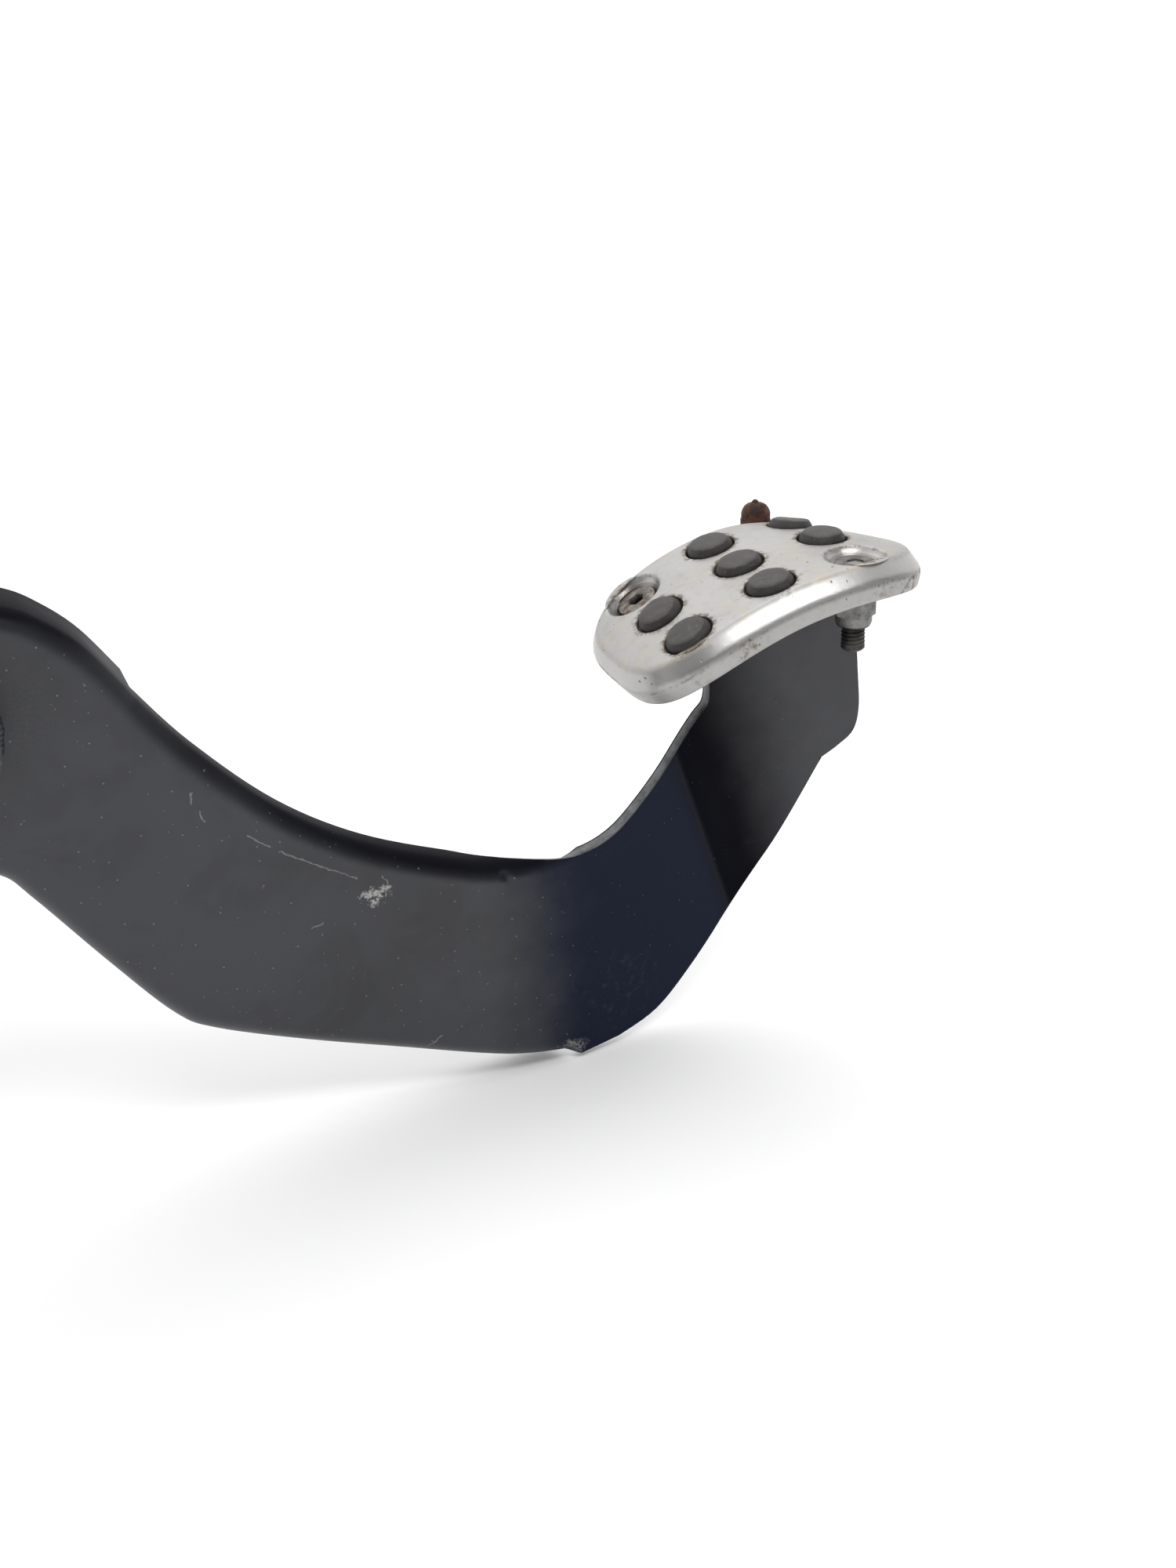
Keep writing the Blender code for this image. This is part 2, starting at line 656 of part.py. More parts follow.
def make_bumper():
    """Rubber buffer with a stem through the base plate; local Z points along +X."""
    bumper = turned([(0, 14), (4.5, 14), (6.4, 13), (7, 11), (7, PLATE + GAP), (3, PLATE + GAP),
                     (3, 0.8), (0, 0.8)], sides=20)
    spot = (Matrix.Translation(Vector((0, BUMPER_Y, BUMPER_Z)) * MM)
            @ Matrix.Rotation(math.pi / 2, 4, 'Y'))
    place(bumper, "stop_bumper", "rubber", None, spot)


def make_spring():
    """Torsion spring: tail hooked in the bracket, coil round the hub, head under the lobe's flange."""
    sides = 16
    route = [(1.5, SPRING_TAIL_Y, SPRING_R), (PIVOT_X - 12, SPRING_TAIL_Y, SPRING_R)]
    for i in range(SPRING_TURNS * sides + 1):
        angle = math.pi / 2 - 2 * math.pi * i / sides
        y = SPRING_TAIL_Y + (SPRING_HEAD_Y - SPRING_TAIL_Y) * i / (SPRING_TURNS * sides)
        route.append((PIVOT_X + SPRING_R * math.cos(angle), y, SPRING_R * math.sin(angle)))
    route.append((PIVOT_X + 12, SPRING_HEAD_Y, SPRING_R))
    route.append((SPRING_HEAD_X, SPRING_HEAD_Y, SPRING_R))
    spring = wire(route, SPRING_WIRE_R)
    place(spring, "return_spring", "spring_steel", None, Matrix.Identity(4))


def wire(route, radius):
    curve = bpy.data.curves.new("wire", 'CURVE')
    curve.dimensions = '3D'
    curve.bevel_depth = radius * MM
    curve.bevel_resolution = 2
    curve.use_fill_caps = True
    spline = curve.splines.new('POLY')
    spline.points.add(len(route) - 1)
    for point, (x, y, z) in zip(spline.points, route):
        point.co = (x * MM, y * MM, z * MM, 1)
    return bpy.data.objects.new("wire", curve)


# ---- pull rod ----

def make_clevis():
    middle = WEB_Y + SHEET / 2
    wide = FORK_SLOT + 2 * FORK_CHEEK
    outline = [(-FORK_HALF, FORK_END), (FORK_HALF, FORK_END)] + arc((0, CLEVIS_Z), FORK_HALF, 0, 180, 8)
    fork = plate(outline, wide)
    slot = hide(block((CLEVIS_X - 20, middle - FORK_SLOT / 2, FORK_SLOT_END),
                      (CLEVIS_X + 20, middle + FORK_SLOT / 2, 30)))
    eye = hide(rod(CLEVIS_PIN_R + GAP, 60, -60, sides=16))
    eye.matrix_world = across(CLEVIS_X, CLEVIS_Z)
    socket = hide(rod(ROD_R + GAP, ROD_TOP + 1, -60, sides=16))
    socket.matrix_world = Matrix.Translation(Vector((CLEVIS_X, middle, 0)) * MM)
    for tool in (slot, eye, socket):
        attach(tool, clevis_axis)
        cut(fork, tool)
    place(fork, "clevis", "zinc", clevis_axis, across(CLEVIS_X, 0, middle))
    shaft = rod(ROD_R, ROD_TOP, ROD_END, 0.5, 16)
    place(shaft, "pull_rod", "zinc", clevis_axis, socket.matrix_world.copy())
    nut = prism(10, FORK_END - GAP, FORK_END - 5)
    bore = hide(rod(ROD_R + GAP, -30, -60, sides=16))
    bore.matrix_world = socket.matrix_world.copy()
    attach(bore, clevis_axis)
    cut(nut, bore)
    place(nut, "rod_nut", "zinc", clevis_axis, socket.matrix_world.copy())


def make_clevis_pin():
    spot = across(CLEVIS_X, CLEVIS_Z)
    front = -WEB_Y - SHEET / 2 + FORK_SLOT / 2 + FORK_CHEEK
    back = front - FORK_SLOT - 2 * FORK_CHEEK
    pin = turned([(0, front + GAP + 1.5), (4.5, front + GAP + 1.5), (4.5, front + GAP),
                  (CLEVIS_PIN_R, front + GAP), (CLEVIS_PIN_R, back - 5.4), (2.4, back - 6), (0, back - 6)],
                 sides=16)
    hole_z = back - 3.2
    hole = hide(rod(1.2, 6, -6, sides=12))
    drill = Matrix.Translation((0, 0, hole_z * MM)) @ Matrix.Rotation(math.pi / 2, 4, 'X')
    hole.matrix_world = spot @ drill
    attach(hole, clevis_axis)
    cut(pin, hole)
    place(pin, "clevis_pin", "zinc", clevis_axis, spot)
    washer = ring(5.4, CLEVIS_PIN_R + GAP, back - GAP, back - GAP - 0.9, 16)
    place(washer, "pin_washer", "zinc", clevis_axis, spot)
    y = -hole_z
    route = [(CLEVIS_X, y, CLEVIS_Z - 6.2), (CLEVIS_X, y, CLEVIS_Z + 3.4)]
    route += [(CLEVIS_X + u, y, CLEVIS_Z + 5.4 + v) for u, v in arc((0, 0), 2.0, -60, 240, 8)]
    split_pin = wire(route, 0.8)
    place(split_pin, "split_pin", "zinc", clevis_axis, Matrix.Identity(4))


clear_scene()
parts = collection("foot_pedal")
cutters = collection("cutters")
pedal_axis = axis_empty("pedal_axis", PIVOT_X, 0, 0)
clevis_axis = axis_empty("clevis_axis", CLEVIS_X, WEB_Y + SHEET / 2, CLEVIS_Z, pedal_axis)
pad_axis = axis_empty("pad_axis", PAD_X, 0, PAD_Z, pedal_axis)
pad_axis.matrix_world = pad_axis.matrix_world @ Matrix.Rotation(PAD_TILT, 4, 'Y')
bpy.context.view_layer.update()

make_bracket()
make_pivot()
make_bumper()
make_spring()
make_arm()
make_hub()
make_pad_saddle()
make_rubber_insert()
make_pad_cover()
make_pad_screws()
make_stop()
make_clevis()
make_clevis_pin()
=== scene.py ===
import json
import math

import bmesh
import bpy
from mathutils import Matrix, Vector, noise


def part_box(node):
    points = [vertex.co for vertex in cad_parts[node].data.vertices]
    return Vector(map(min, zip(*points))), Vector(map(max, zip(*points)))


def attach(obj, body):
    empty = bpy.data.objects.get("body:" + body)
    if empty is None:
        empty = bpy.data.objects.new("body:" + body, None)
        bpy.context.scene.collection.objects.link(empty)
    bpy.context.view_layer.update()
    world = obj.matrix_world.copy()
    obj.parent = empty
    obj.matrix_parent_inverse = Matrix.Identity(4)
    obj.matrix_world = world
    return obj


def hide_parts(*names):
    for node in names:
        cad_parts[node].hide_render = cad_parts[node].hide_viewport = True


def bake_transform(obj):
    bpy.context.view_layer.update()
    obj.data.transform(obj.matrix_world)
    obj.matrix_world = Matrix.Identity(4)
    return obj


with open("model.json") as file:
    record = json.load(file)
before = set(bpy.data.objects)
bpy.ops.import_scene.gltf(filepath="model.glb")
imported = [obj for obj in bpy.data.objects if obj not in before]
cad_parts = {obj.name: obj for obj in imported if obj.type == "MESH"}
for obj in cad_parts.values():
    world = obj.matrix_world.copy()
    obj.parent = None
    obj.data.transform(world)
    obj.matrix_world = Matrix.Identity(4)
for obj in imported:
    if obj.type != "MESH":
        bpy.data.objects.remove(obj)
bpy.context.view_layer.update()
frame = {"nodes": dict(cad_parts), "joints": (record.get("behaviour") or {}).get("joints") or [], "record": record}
mm = 0.001                                   # sizes below are in millimetres
noise.seed_set(1)                            # the same wear in every run
bodies = frame["record"]["behaviour"]["bodies"]
print("frame loaded:", len(frame["nodes"]), "parts")

# ---------- node trees written as sums and calls ----------


def maths(operation, swapped=False):
    def combine(self, value=0.0):
        pair = (value, self) if swapped else (self, value)
        return self.graph.add("ShaderNodeMath", {"operation": operation}, dict(enumerate(pair)))
    return combine


class Signal:                                # one socket, which can be used in a sum
    def __init__(self, graph, socket):
        self.graph, self.socket = graph, socket

    def other(self, name):                   # another output of the same node
        return Signal(self.graph, self.socket.node.outputs[name])

    __add__ = __radd__ = maths("ADD")
    __sub__, __rsub__ = maths("SUBTRACT"), maths("SUBTRACT", True)
    __mul__ = __rmul__ = maths("MULTIPLY")
    __or__ = maths("MAXIMUM")                # the larger of two masks
    __abs__ = maths("ABSOLUTE")


class Graph:                                 # a tree that nodes are added to
    def __init__(self, tree):
        self.tree = tree

    def add(self, kind, settings=None, sockets=None, out=0):
        node = self.tree.nodes.new(kind)
        for key, value in (settings or {}).items():
            if key == "stops":
                ramp = node.color_ramp.elements
                while len(ramp) < len(value):
                    ramp.new(0.5)
                for element, (at, colour) in zip(ramp, value):
                    element.position = at
                    element.color = (*colour, 1)
            else:
                setattr(node, key, value)
        for key, value in (sockets or {}).items():
            if isinstance(value, Signal):
                self.tree.links.new(value.socket, node.inputs[key])
            elif isinstance(value, tuple) and node.inputs[key].type == "RGBA":
                node.inputs[key].default_value = (*value, 1)
            else:
                node.inputs[key].default_value = value
        return Signal(self, node.outputs[out])

    def cloud(self, place, scale, detail=4.0, roughness=0.55, distortion=0.0):
        return self.add("ShaderNodeTexNoise", {}, {
            "Vector": place, "Scale": scale, "Detail": detail,
            "Roughness": roughness, "Distortion": distortion})

    def step(self, value, low, high):        # smooth mask: 0 at low, 1 at high
        return self.add("ShaderNodeMapRange", {"interpolation_type": "SMOOTHSTEP"}, {
            "Value": value, "From Min": low, "From Max": high})

    def mix(self, share, first, second):     # colours
        return self.add("ShaderNodeMix", {"data_type": "RGBA"}, {0: share, 6: first, 7: second}, 2)

    def vector(self, operation, first, second=None, out=0, scale=None):
        sockets = {0: first}
        if second is not None:
            sockets[1] = second
        if scale is not None:
            sockets["Scale"] = scale
        return self.add("ShaderNodeVectorMath", {"operation": operation}, sockets, out)

    def stretched(self, place, size, turn=(0, 0, 0)):
        return self.add("ShaderNodeMapping", {"vector_type": "POINT"}, {
            "Vector": place, "Scale": size, "Rotation": turn})

    def axis(self, place, name):
        return self.add("ShaderNodeSeparateXYZ", {}, {0: place}, name)

    def away(self, place, point):            # distance from a point
        return self.vector("DISTANCE", place, point, "Value")

    def specks(self, place, scale, size, share, space="3D"):
        cells = self.add("ShaderNodeTexVoronoi", {"voronoi_dimensions": space}, {
            "Vector": place, "Scale": scale})
        pick = self.axis(cells.other("Color"), "X")
        return self.step(cells, size, size * 0.5) * self.step(pick, 1 - share, 1 - share + 0.02)

    def stroke(self, place, start, end, width):   # a scratch between two points
        a, b = Vector(start), Vector(end)
        along = b - a
        there = self.vector("SUBTRACT", place, tuple(a))
        run = self.vector("DOT_PRODUCT", there, tuple(along / along.length_squared), "Value")
        run = self.add("ShaderNodeClamp", {}, {"Value": run})
        near = self.vector("SCALE", tuple(along), scale=run)
        gap = self.vector("DISTANCE", there, near, "Value")
        return self.step(gap, width, width * 0.35)

    def bump(self, height, strength, distance):
        return self.add("ShaderNodeBump", {}, {
            "Height": height, "Strength": strength, "Distance": distance})

    def beside(self, place, spot, stretch=1):     # distance from a spot (x, z), seen from the side
        flat = self.vector("MULTIPLY", place, (1, 0, stretch))
        return self.away(flat, (spot[0], 0, spot[1] * stretch))


def finish(name, build):
    # build fills the shader and says what drives its sockets
    made = bpy.data.materials.new(name)
    made.use_nodes = True
    tree = made.node_tree
    tree.nodes.clear()
    graph = Graph(tree)
    coordinates = tree.nodes.new("ShaderNodeTexCoord")
    place = graph.vector("SCALE", Signal(graph, coordinates.outputs["Object"]), scale=1 / mm)
    values = build(graph, place)
    matt = values.pop("Matt", None)          # mask of where the surface reflects little
    shader = graph.add("ShaderNodeBsdfPrincipled", {}, values)
    if matt:
        dull = graph.add("ShaderNodeBsdfPrincipled", {}, {**values, "Specular IOR Level": 0.01})
        shader = graph.add("ShaderNodeMixShader", {}, {0: matt, 1: shader, 2: dull})
    output = tree.nodes.new("ShaderNodeOutputMaterial")
    tree.links.new(shader.socket, output.inputs[0])
    return made


# ---------- shaping ----------


def newObject(name, data):
    made = bpy.data.objects.new(name, data)
    bpy.context.scene.collection.objects.link(made)
    return made


def toObject(name, shape, where=None, sharp=32):
    # millimetres in, metres out, faces outwards
    bmesh.ops.recalc_face_normals(shape, faces=shape.faces)
    if shape.calc_volume(signed=True) < 0:
        bmesh.ops.reverse_faces(shape, faces=shape.faces)
    bmesh.ops.transform(shape, matrix=Matrix.Scale(mm, 4), verts=shape.verts)
    if where:
        bmesh.ops.transform(shape, matrix=where, verts=shape.verts)
    mesh = bpy.data.meshes.new(name)
    shape.to_mesh(mesh)
    shape.free()
    mesh.shade_smooth()
    mesh.set_sharp_from_angle(angle=math.radians(sharp))
    return newObject(name, mesh)


def settle(obj):
    # the modifiers' result becomes the mesh
    graph = bpy.context.evaluated_depsgraph_get()
    mesh = bpy.data.meshes.new_from_object(obj.evaluated_get(graph))
    obj.modifiers.clear()
    obj.data = mesh
    return obj


def carve(obj, tool, operation="DIFFERENCE"):
    step = obj.modifiers.new("carve", "BOOLEAN")
    step.operation = operation
    step.solver = "EXACT"
    step.object = tool
    settle(obj)
    bpy.data.objects.remove(tool)
    return obj


def drill(obj, radius, where, top, bottom, sides):
    # a round hole between two heights
    return carve(obj, spun([(0, top), (radius, top), (radius, bottom), (0, bottom)], where, sides))


def soften(obj, width, segments):
    step = obj.modifiers.new("soften", "BEVEL")
    step.width = width * mm
    step.segments = segments
    step.limit_method = "ANGLE"
    step.angle_limit = math.radians(40)
    step.use_clamp_overlap = True
    settle(obj)
    obj.data.shade_smooth()
    obj.data.set_sharp_from_angle(angle=math.radians(50))
    return obj


def weld(pieces, name):
    # several shells become one piece, all of one finish
    shape = bmesh.new()
    for piece in pieces:
        shape.from_mesh(piece.data)
        bpy.data.objects.remove(piece)
    mesh = bpy.data.meshes.new(name)
    shape.to_mesh(mesh)
    shape.free()
    mesh.materials.clear()
    mesh.shade_smooth()
    mesh.set_sharp_from_angle(angle=math.radians(32))
    return newObject(name, mesh)


def keep(obj, name, finishes, node, blended=False):
    # the piece takes the place of its CAD part, and moves with it unless it is blended
    obj.name = name
    obj.data.name = name
    for one in finishes:
        obj.data.materials.append(one)
    if not blended:
        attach(obj, [body for body, members in bodies.items() if node in members][0])
    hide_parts(node)
    return obj


def skin(rows, loop=False):
    # joins rows of points round a shape; a row of one point closes an end
    shape = bmesh.new()
    made = [[shape.verts.new(point) for point in row] for row in rows]
    pairs = list(zip(made, made[1:])) + ([(made[-1], made[0])] if loop else [])
    for upper, lower in pairs:
        for i in range(max(len(upper), len(lower))):
            j = i + 1
            corners = [upper[i % len(upper)], upper[j % len(upper)],
                       lower[j % len(lower)], lower[i % len(lower)]]
            corners = list(dict.fromkeys(corners))
            if len(corners) > 2:
                shape.faces.new(corners)
    return shape


def spun(profile, where, sides=72, flats=0.0, turn=0.0, thread=None, loop=False, sharp=32):
    # turns (radius, height) points; flats makes a hexagon, thread cuts a helix
    rows = []
    stops = profile + ([profile[0]] if loop else [])
    for (radius, height), (nextRadius, nextHeight) in zip(stops, stops[1:] + [stops[-1]]):
        threaded = thread and radius == nextRadius == thread["radius"]
        count = max(1, int(abs(nextHeight - height) / thread["pitch"] * 8)) if threaded else 1
        for i in range(count):
            z = height + (nextHeight - height) * i / count
            if radius < 0.001:
                rows.append([Vector((0, 0, z))])
                continue
            row = []
            for k in range(sides):
                angle = 2 * math.pi * k / sides
                r = radius
                if flats:
                    fold = (angle + math.pi / 6) % (math.pi / 3) - math.pi / 6
                    r = min(r, flats / 2 / math.cos(abs(abs(fold) - math.pi / 6)))
                if threaded:
                    phase = (z / thread["pitch"] - angle / (2 * math.pi)) % 1
                    ends = min(1, 2.5 * i / count, 2.5 * (count - i) / count)
                    r -= thread["depth"] * min(1, 1.25 * abs(2 * phase - 1)) * ends
                row.append(Vector((r * math.cos(angle + turn), r * math.sin(angle + turn), z)))
            rows.append(row)
    if loop:
        rows.pop()
    return toObject("spun", skin(rows, loop), where, sharp)


def rounded(points, size=0.5, steps=3):
    # rounds the corners of a profile, but not its ends
    result = [points[0]]
    for before, corner, after in zip(points, points[1:], points[2:]):
        b, c, a = Vector(before), Vector(corner), Vector(after)
        reach = min(size, (b - c).length * 0.45, (a - c).length * 0.45)
        start, end = c + (b - c).normalized() * reach, c + (a - c).normalized() * reach
        for i in range(steps + 1):
            u = i / steps
            point = start * (1 - u) ** 2 + c * 2 * u * (1 - u) + end * u * u
            result.append(tuple(point))
    return result + [points[-1]]


def ringProfile(outer, inner, top, bottom, edge=0.4):
    corners = [(outer, top), (outer, bottom), (inner, bottom), (inner, top)]
    wrapped = rounded([corners[-1]] + corners + [corners[0]], edge)
    return wrapped[1:-1]


def slab(outline, low, high, where=None):
    # a flat outline given depth along its z
    rows = [[Vector((u, v, low)) for u, v in outline], [Vector((u, v, high)) for u, v in outline]]
    shape = skin(rows)
    shape.verts.ensure_lookup_table()
    count = len(outline)
    shape.faces.new(shape.verts[:count])
    shape.faces.new(shape.verts[count:])
    return toObject("slab", shape, where)


def arc(centre, radius, start, stop, count):
    angles = [math.radians(start + (stop - start) * i / count) for i in range(count + 1)]
    return [(centre[0] + radius * math.cos(a), centre[1] + radius * math.sin(a)) for a in angles]


def smooth(points, steps):
    # a Catmull-Rom curve through the points
    ends = [points[0]] + list(points) + [points[-1]]
    curve = []
    for p0, p1, p2, p3 in zip(ends, ends[1:], ends[2:], ends[3:]):
        for i in range(steps):
            u = i / steps
            curve.append(tuple(
                0.5 * (2 * b + (c - a) * u + (2 * a - 5 * b + 4 * c - d) * u * u
                       + (3 * b - a - 3 * c + d) * u ** 3)
                for a, b, c, d in zip(p0, p1, p2, p3)))
    return curve + [tuple(points[-1])]


def cutAcross(shape, point, normal, snap):
    # a cut right through, which adds points to bend by
    bmesh.ops.bisect_plane(shape, geom=shape.verts[:] + shape.edges[:] + shape.faces[:], dist=snap,
                           plane_co=point, plane_no=Vector(normal).normalized())


def crossways(x, z):
    # local z points to the outer side (-y)
    return Matrix.Translation(Vector((x, 0, z)) * mm) @ Matrix.Rotation(math.pi / 2, 4, "X")


def forwards(y, z):
    # local z points along +x
    return Matrix.Translation(Vector((0, y, z)) * mm) @ Matrix.Rotation(math.pi / 2, 4, "Y")


def sizes(node):
    low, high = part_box(node)
    return low / mm, high / mm


# ---------- geometry node patterns ----------


def pattern(name, inputs, build):
    tree = bpy.data.node_groups.new(name, "GeometryNodeTree")
    tree.interface.new_socket(name="Geometry", in_out="INPUT", socket_type="NodeSocketGeometry")
    tree.interface.new_socket(name="Geometry", in_out="OUTPUT", socket_type="NodeSocketGeometry")
    for label, kind in inputs.items():
        tree.interface.new_socket(name=label, in_out="INPUT", socket_type="NodeSocket" + kind)
    graph = Graph(tree)
    start = tree.nodes.new("NodeGroupInput")
    named = {socket.name: Signal(graph, socket) for socket in start.outputs if socket.name}
    result = build(graph, named)
    result = graph.add("GeometryNodeSetMaterial", {}, {
        "Geometry": result, "Material": named["Finish"]})
    end = tree.nodes.new("NodeGroupOutput")
    tree.links.new(result.socket, end.inputs[0])
    return tree


def grow(obj, tree, values):
    # runs a pattern on an object and keeps its result as plain mesh
    step = obj.modifiers.new("pattern", "NODES")
    step.node_group = tree
    for item in tree.interface.items_tree:
        if item.item_type == "SOCKET" and item.in_out == "INPUT" and item.name in values:
            step[item.identifier] = values[item.name]
    settle(obj)
    obj.data.shade_smooth()
    return obj


def polyline(points):
    mesh = bpy.data.meshes.new("path")
    steps = [(i, i + 1) for i in range(len(points) - 1)]
    mesh.from_pydata([Vector(p) * mm for p in points], steps, [])
    return newObject("path", mesh)


def rippleNodes(graph, given):
    # overlapping ripples of a weld bead along the path
    path = graph.add("GeometryNodeMeshToCurve", {}, {"Mesh": given["Geometry"]})
    path = graph.add("GeometryNodeResampleCurve", {"mode": "LENGTH"}, {
        "Curve": path, "Length": given["Pitch"]})
    drop = graph.add("GeometryNodeMeshUVSphere", {}, {
        "Segments": 20, "Rings": 12, "Radius": given["Radius"]})
    tangent = graph.add("GeometryNodeInputTangent")
    facing = graph.add("FunctionNodeAlignRotationToVector", {"axis": "X"}, {"Vector": tangent})
    size = graph.add("FunctionNodeRandomValue", {"data_type": "FLOAT"}, {
        2: 0.88, 3: 1.08, "Seed": given["Seed"]}, 1)
    scale = graph.add("ShaderNodeCombineXYZ", {}, {"X": size * 0.75, "Y": size, "Z": size * 0.92})
    drops = graph.add("GeometryNodeInstanceOnPoints", {}, {
        "Points": path, "Instance": drop, "Rotation": facing, "Scale": scale})
    return graph.add("GeometryNodeRealizeInstances", {}, {"Geometry": drops})


def wireNodes(graph, given):
    # a round wire along the path
    path = graph.add("GeometryNodeMeshToCurve", {}, {"Mesh": given["Geometry"]})
    ring = graph.add("GeometryNodeCurvePrimitiveCircle", {}, {
        "Resolution": given["Sides"], "Radius": given["Radius"]})
    wire = graph.add("GeometryNodeCurveToMesh", {}, {
        "Curve": path, "Profile Curve": ring, "Fill Caps": True})
    return graph.add("GeometryNodeRealizeInstances", {}, {"Geometry": wire})


def scatterNodes(graph, given):
    # one stud on every point, square on its normal, each a little different
    out = graph.add("GeometryNodeInputNamedAttribute", {"data_type": "FLOAT_VECTOR"}, {"Name": "facing"})
    facing = graph.add("FunctionNodeAlignRotationToVector", {"axis": "Z"}, {"Vector": out})
    turn = graph.add("FunctionNodeRandomValue", {"data_type": "FLOAT"}, {
        2: 0.0, 3: 6.28, "Seed": given["Seed"]}, 1)
    spin = graph.add("ShaderNodeCombineXYZ", {}, {"X": 0.0, "Y": 0.0, "Z": turn})
    spin = graph.add("FunctionNodeEulerToRotation", {}, {"Euler": spin})
    facing = graph.add("FunctionNodeRotateRotation", {"rotation_space": "LOCAL"}, {
        "Rotation": facing, "Rotate By": spin})
    size = graph.add("FunctionNodeRandomValue", {"data_type": "FLOAT"}, {
        2: 1 - 0.012, 3: 1.0, "Seed": given["Seed"]}, 1)
    stud = graph.add("GeometryNodeObjectInfo", {"transform_space": "ORIGINAL"}, {
        "Object": given["Piece"]}, "Geometry")
    studs = graph.add("GeometryNodeInstanceOnPoints", {}, {
        "Points": graph.add("GeometryNodeMeshToPoints", {}, {"Mesh": given["Geometry"]}),
        "Instance": stud, "Rotation": facing, "Scale": size})
    return graph.add("GeometryNodeRealizeInstances", {}, {"Geometry": studs})


rippleTree = pattern("weld ripples", {
    "Pitch": "Float", "Radius": "Float", "Seed": "Int", "Finish": "Material"}, rippleNodes)
wireTree = pattern("wire", {"Sides": "Int", "Radius": "Float", "Finish": "Material"}, wireNodes)
scatterTree = pattern("studs", {"Piece": "Object", "Seed": "Int", "Finish": "Material"}, scatterNodes)
print("patterns ready")

# ---------- finishes ----------

paint = {
    # the navy colour is a painted dark reflection on the set-in ramp; dark is painted shade on a stripe below the
    # pad and on up-facing surfaces, and also the colour of a darker patch near the lobe
    "base": (0.020, 0.0212, 0.029), "rampReflection": (0.006, 0.010, 0.025), "dark": (0.0045, 0.0045, 0.0065),
    "dust": (0.16, 0.15, 0.14), "bare": (0.42, 0.41, 0.39), "edge": (0.150, 0.156, 0.158), "rough": 0.40,
    "lean": 0.366, "rampReflectionFrom": (184, 216), "rampReflectionTo": (226, 217),
    "shadeStripeFrom": (214, 220), "shadeStripeTo": (264, 231),
    "scratches": [((120.1, -33.6), (125, -37.4)), ((127, -39.0), (131, -41.6)),
                  ((131, -41.6), (144.3, -49.6)), ((109.0, -21), (108.6, -23.6)),
                  ((110.4, -25.8), (111.2, -28.4)), ((150.6, -50.2), (152.4, -53.5)),
                  ((133, -60.5), (135.4, -59.6)), ((160, -101), (163.5, -98.6)),
                  ((205, -71), (206.2, -69.2))],
    "chip": (148.6, -54.6), "ring": (206.6, -92.9), "ringSize": 7.0, "barePatch": (200, -113),
    "smear": (214, -12, -100), "darkPatchSpot": (74, -18, 4),
}


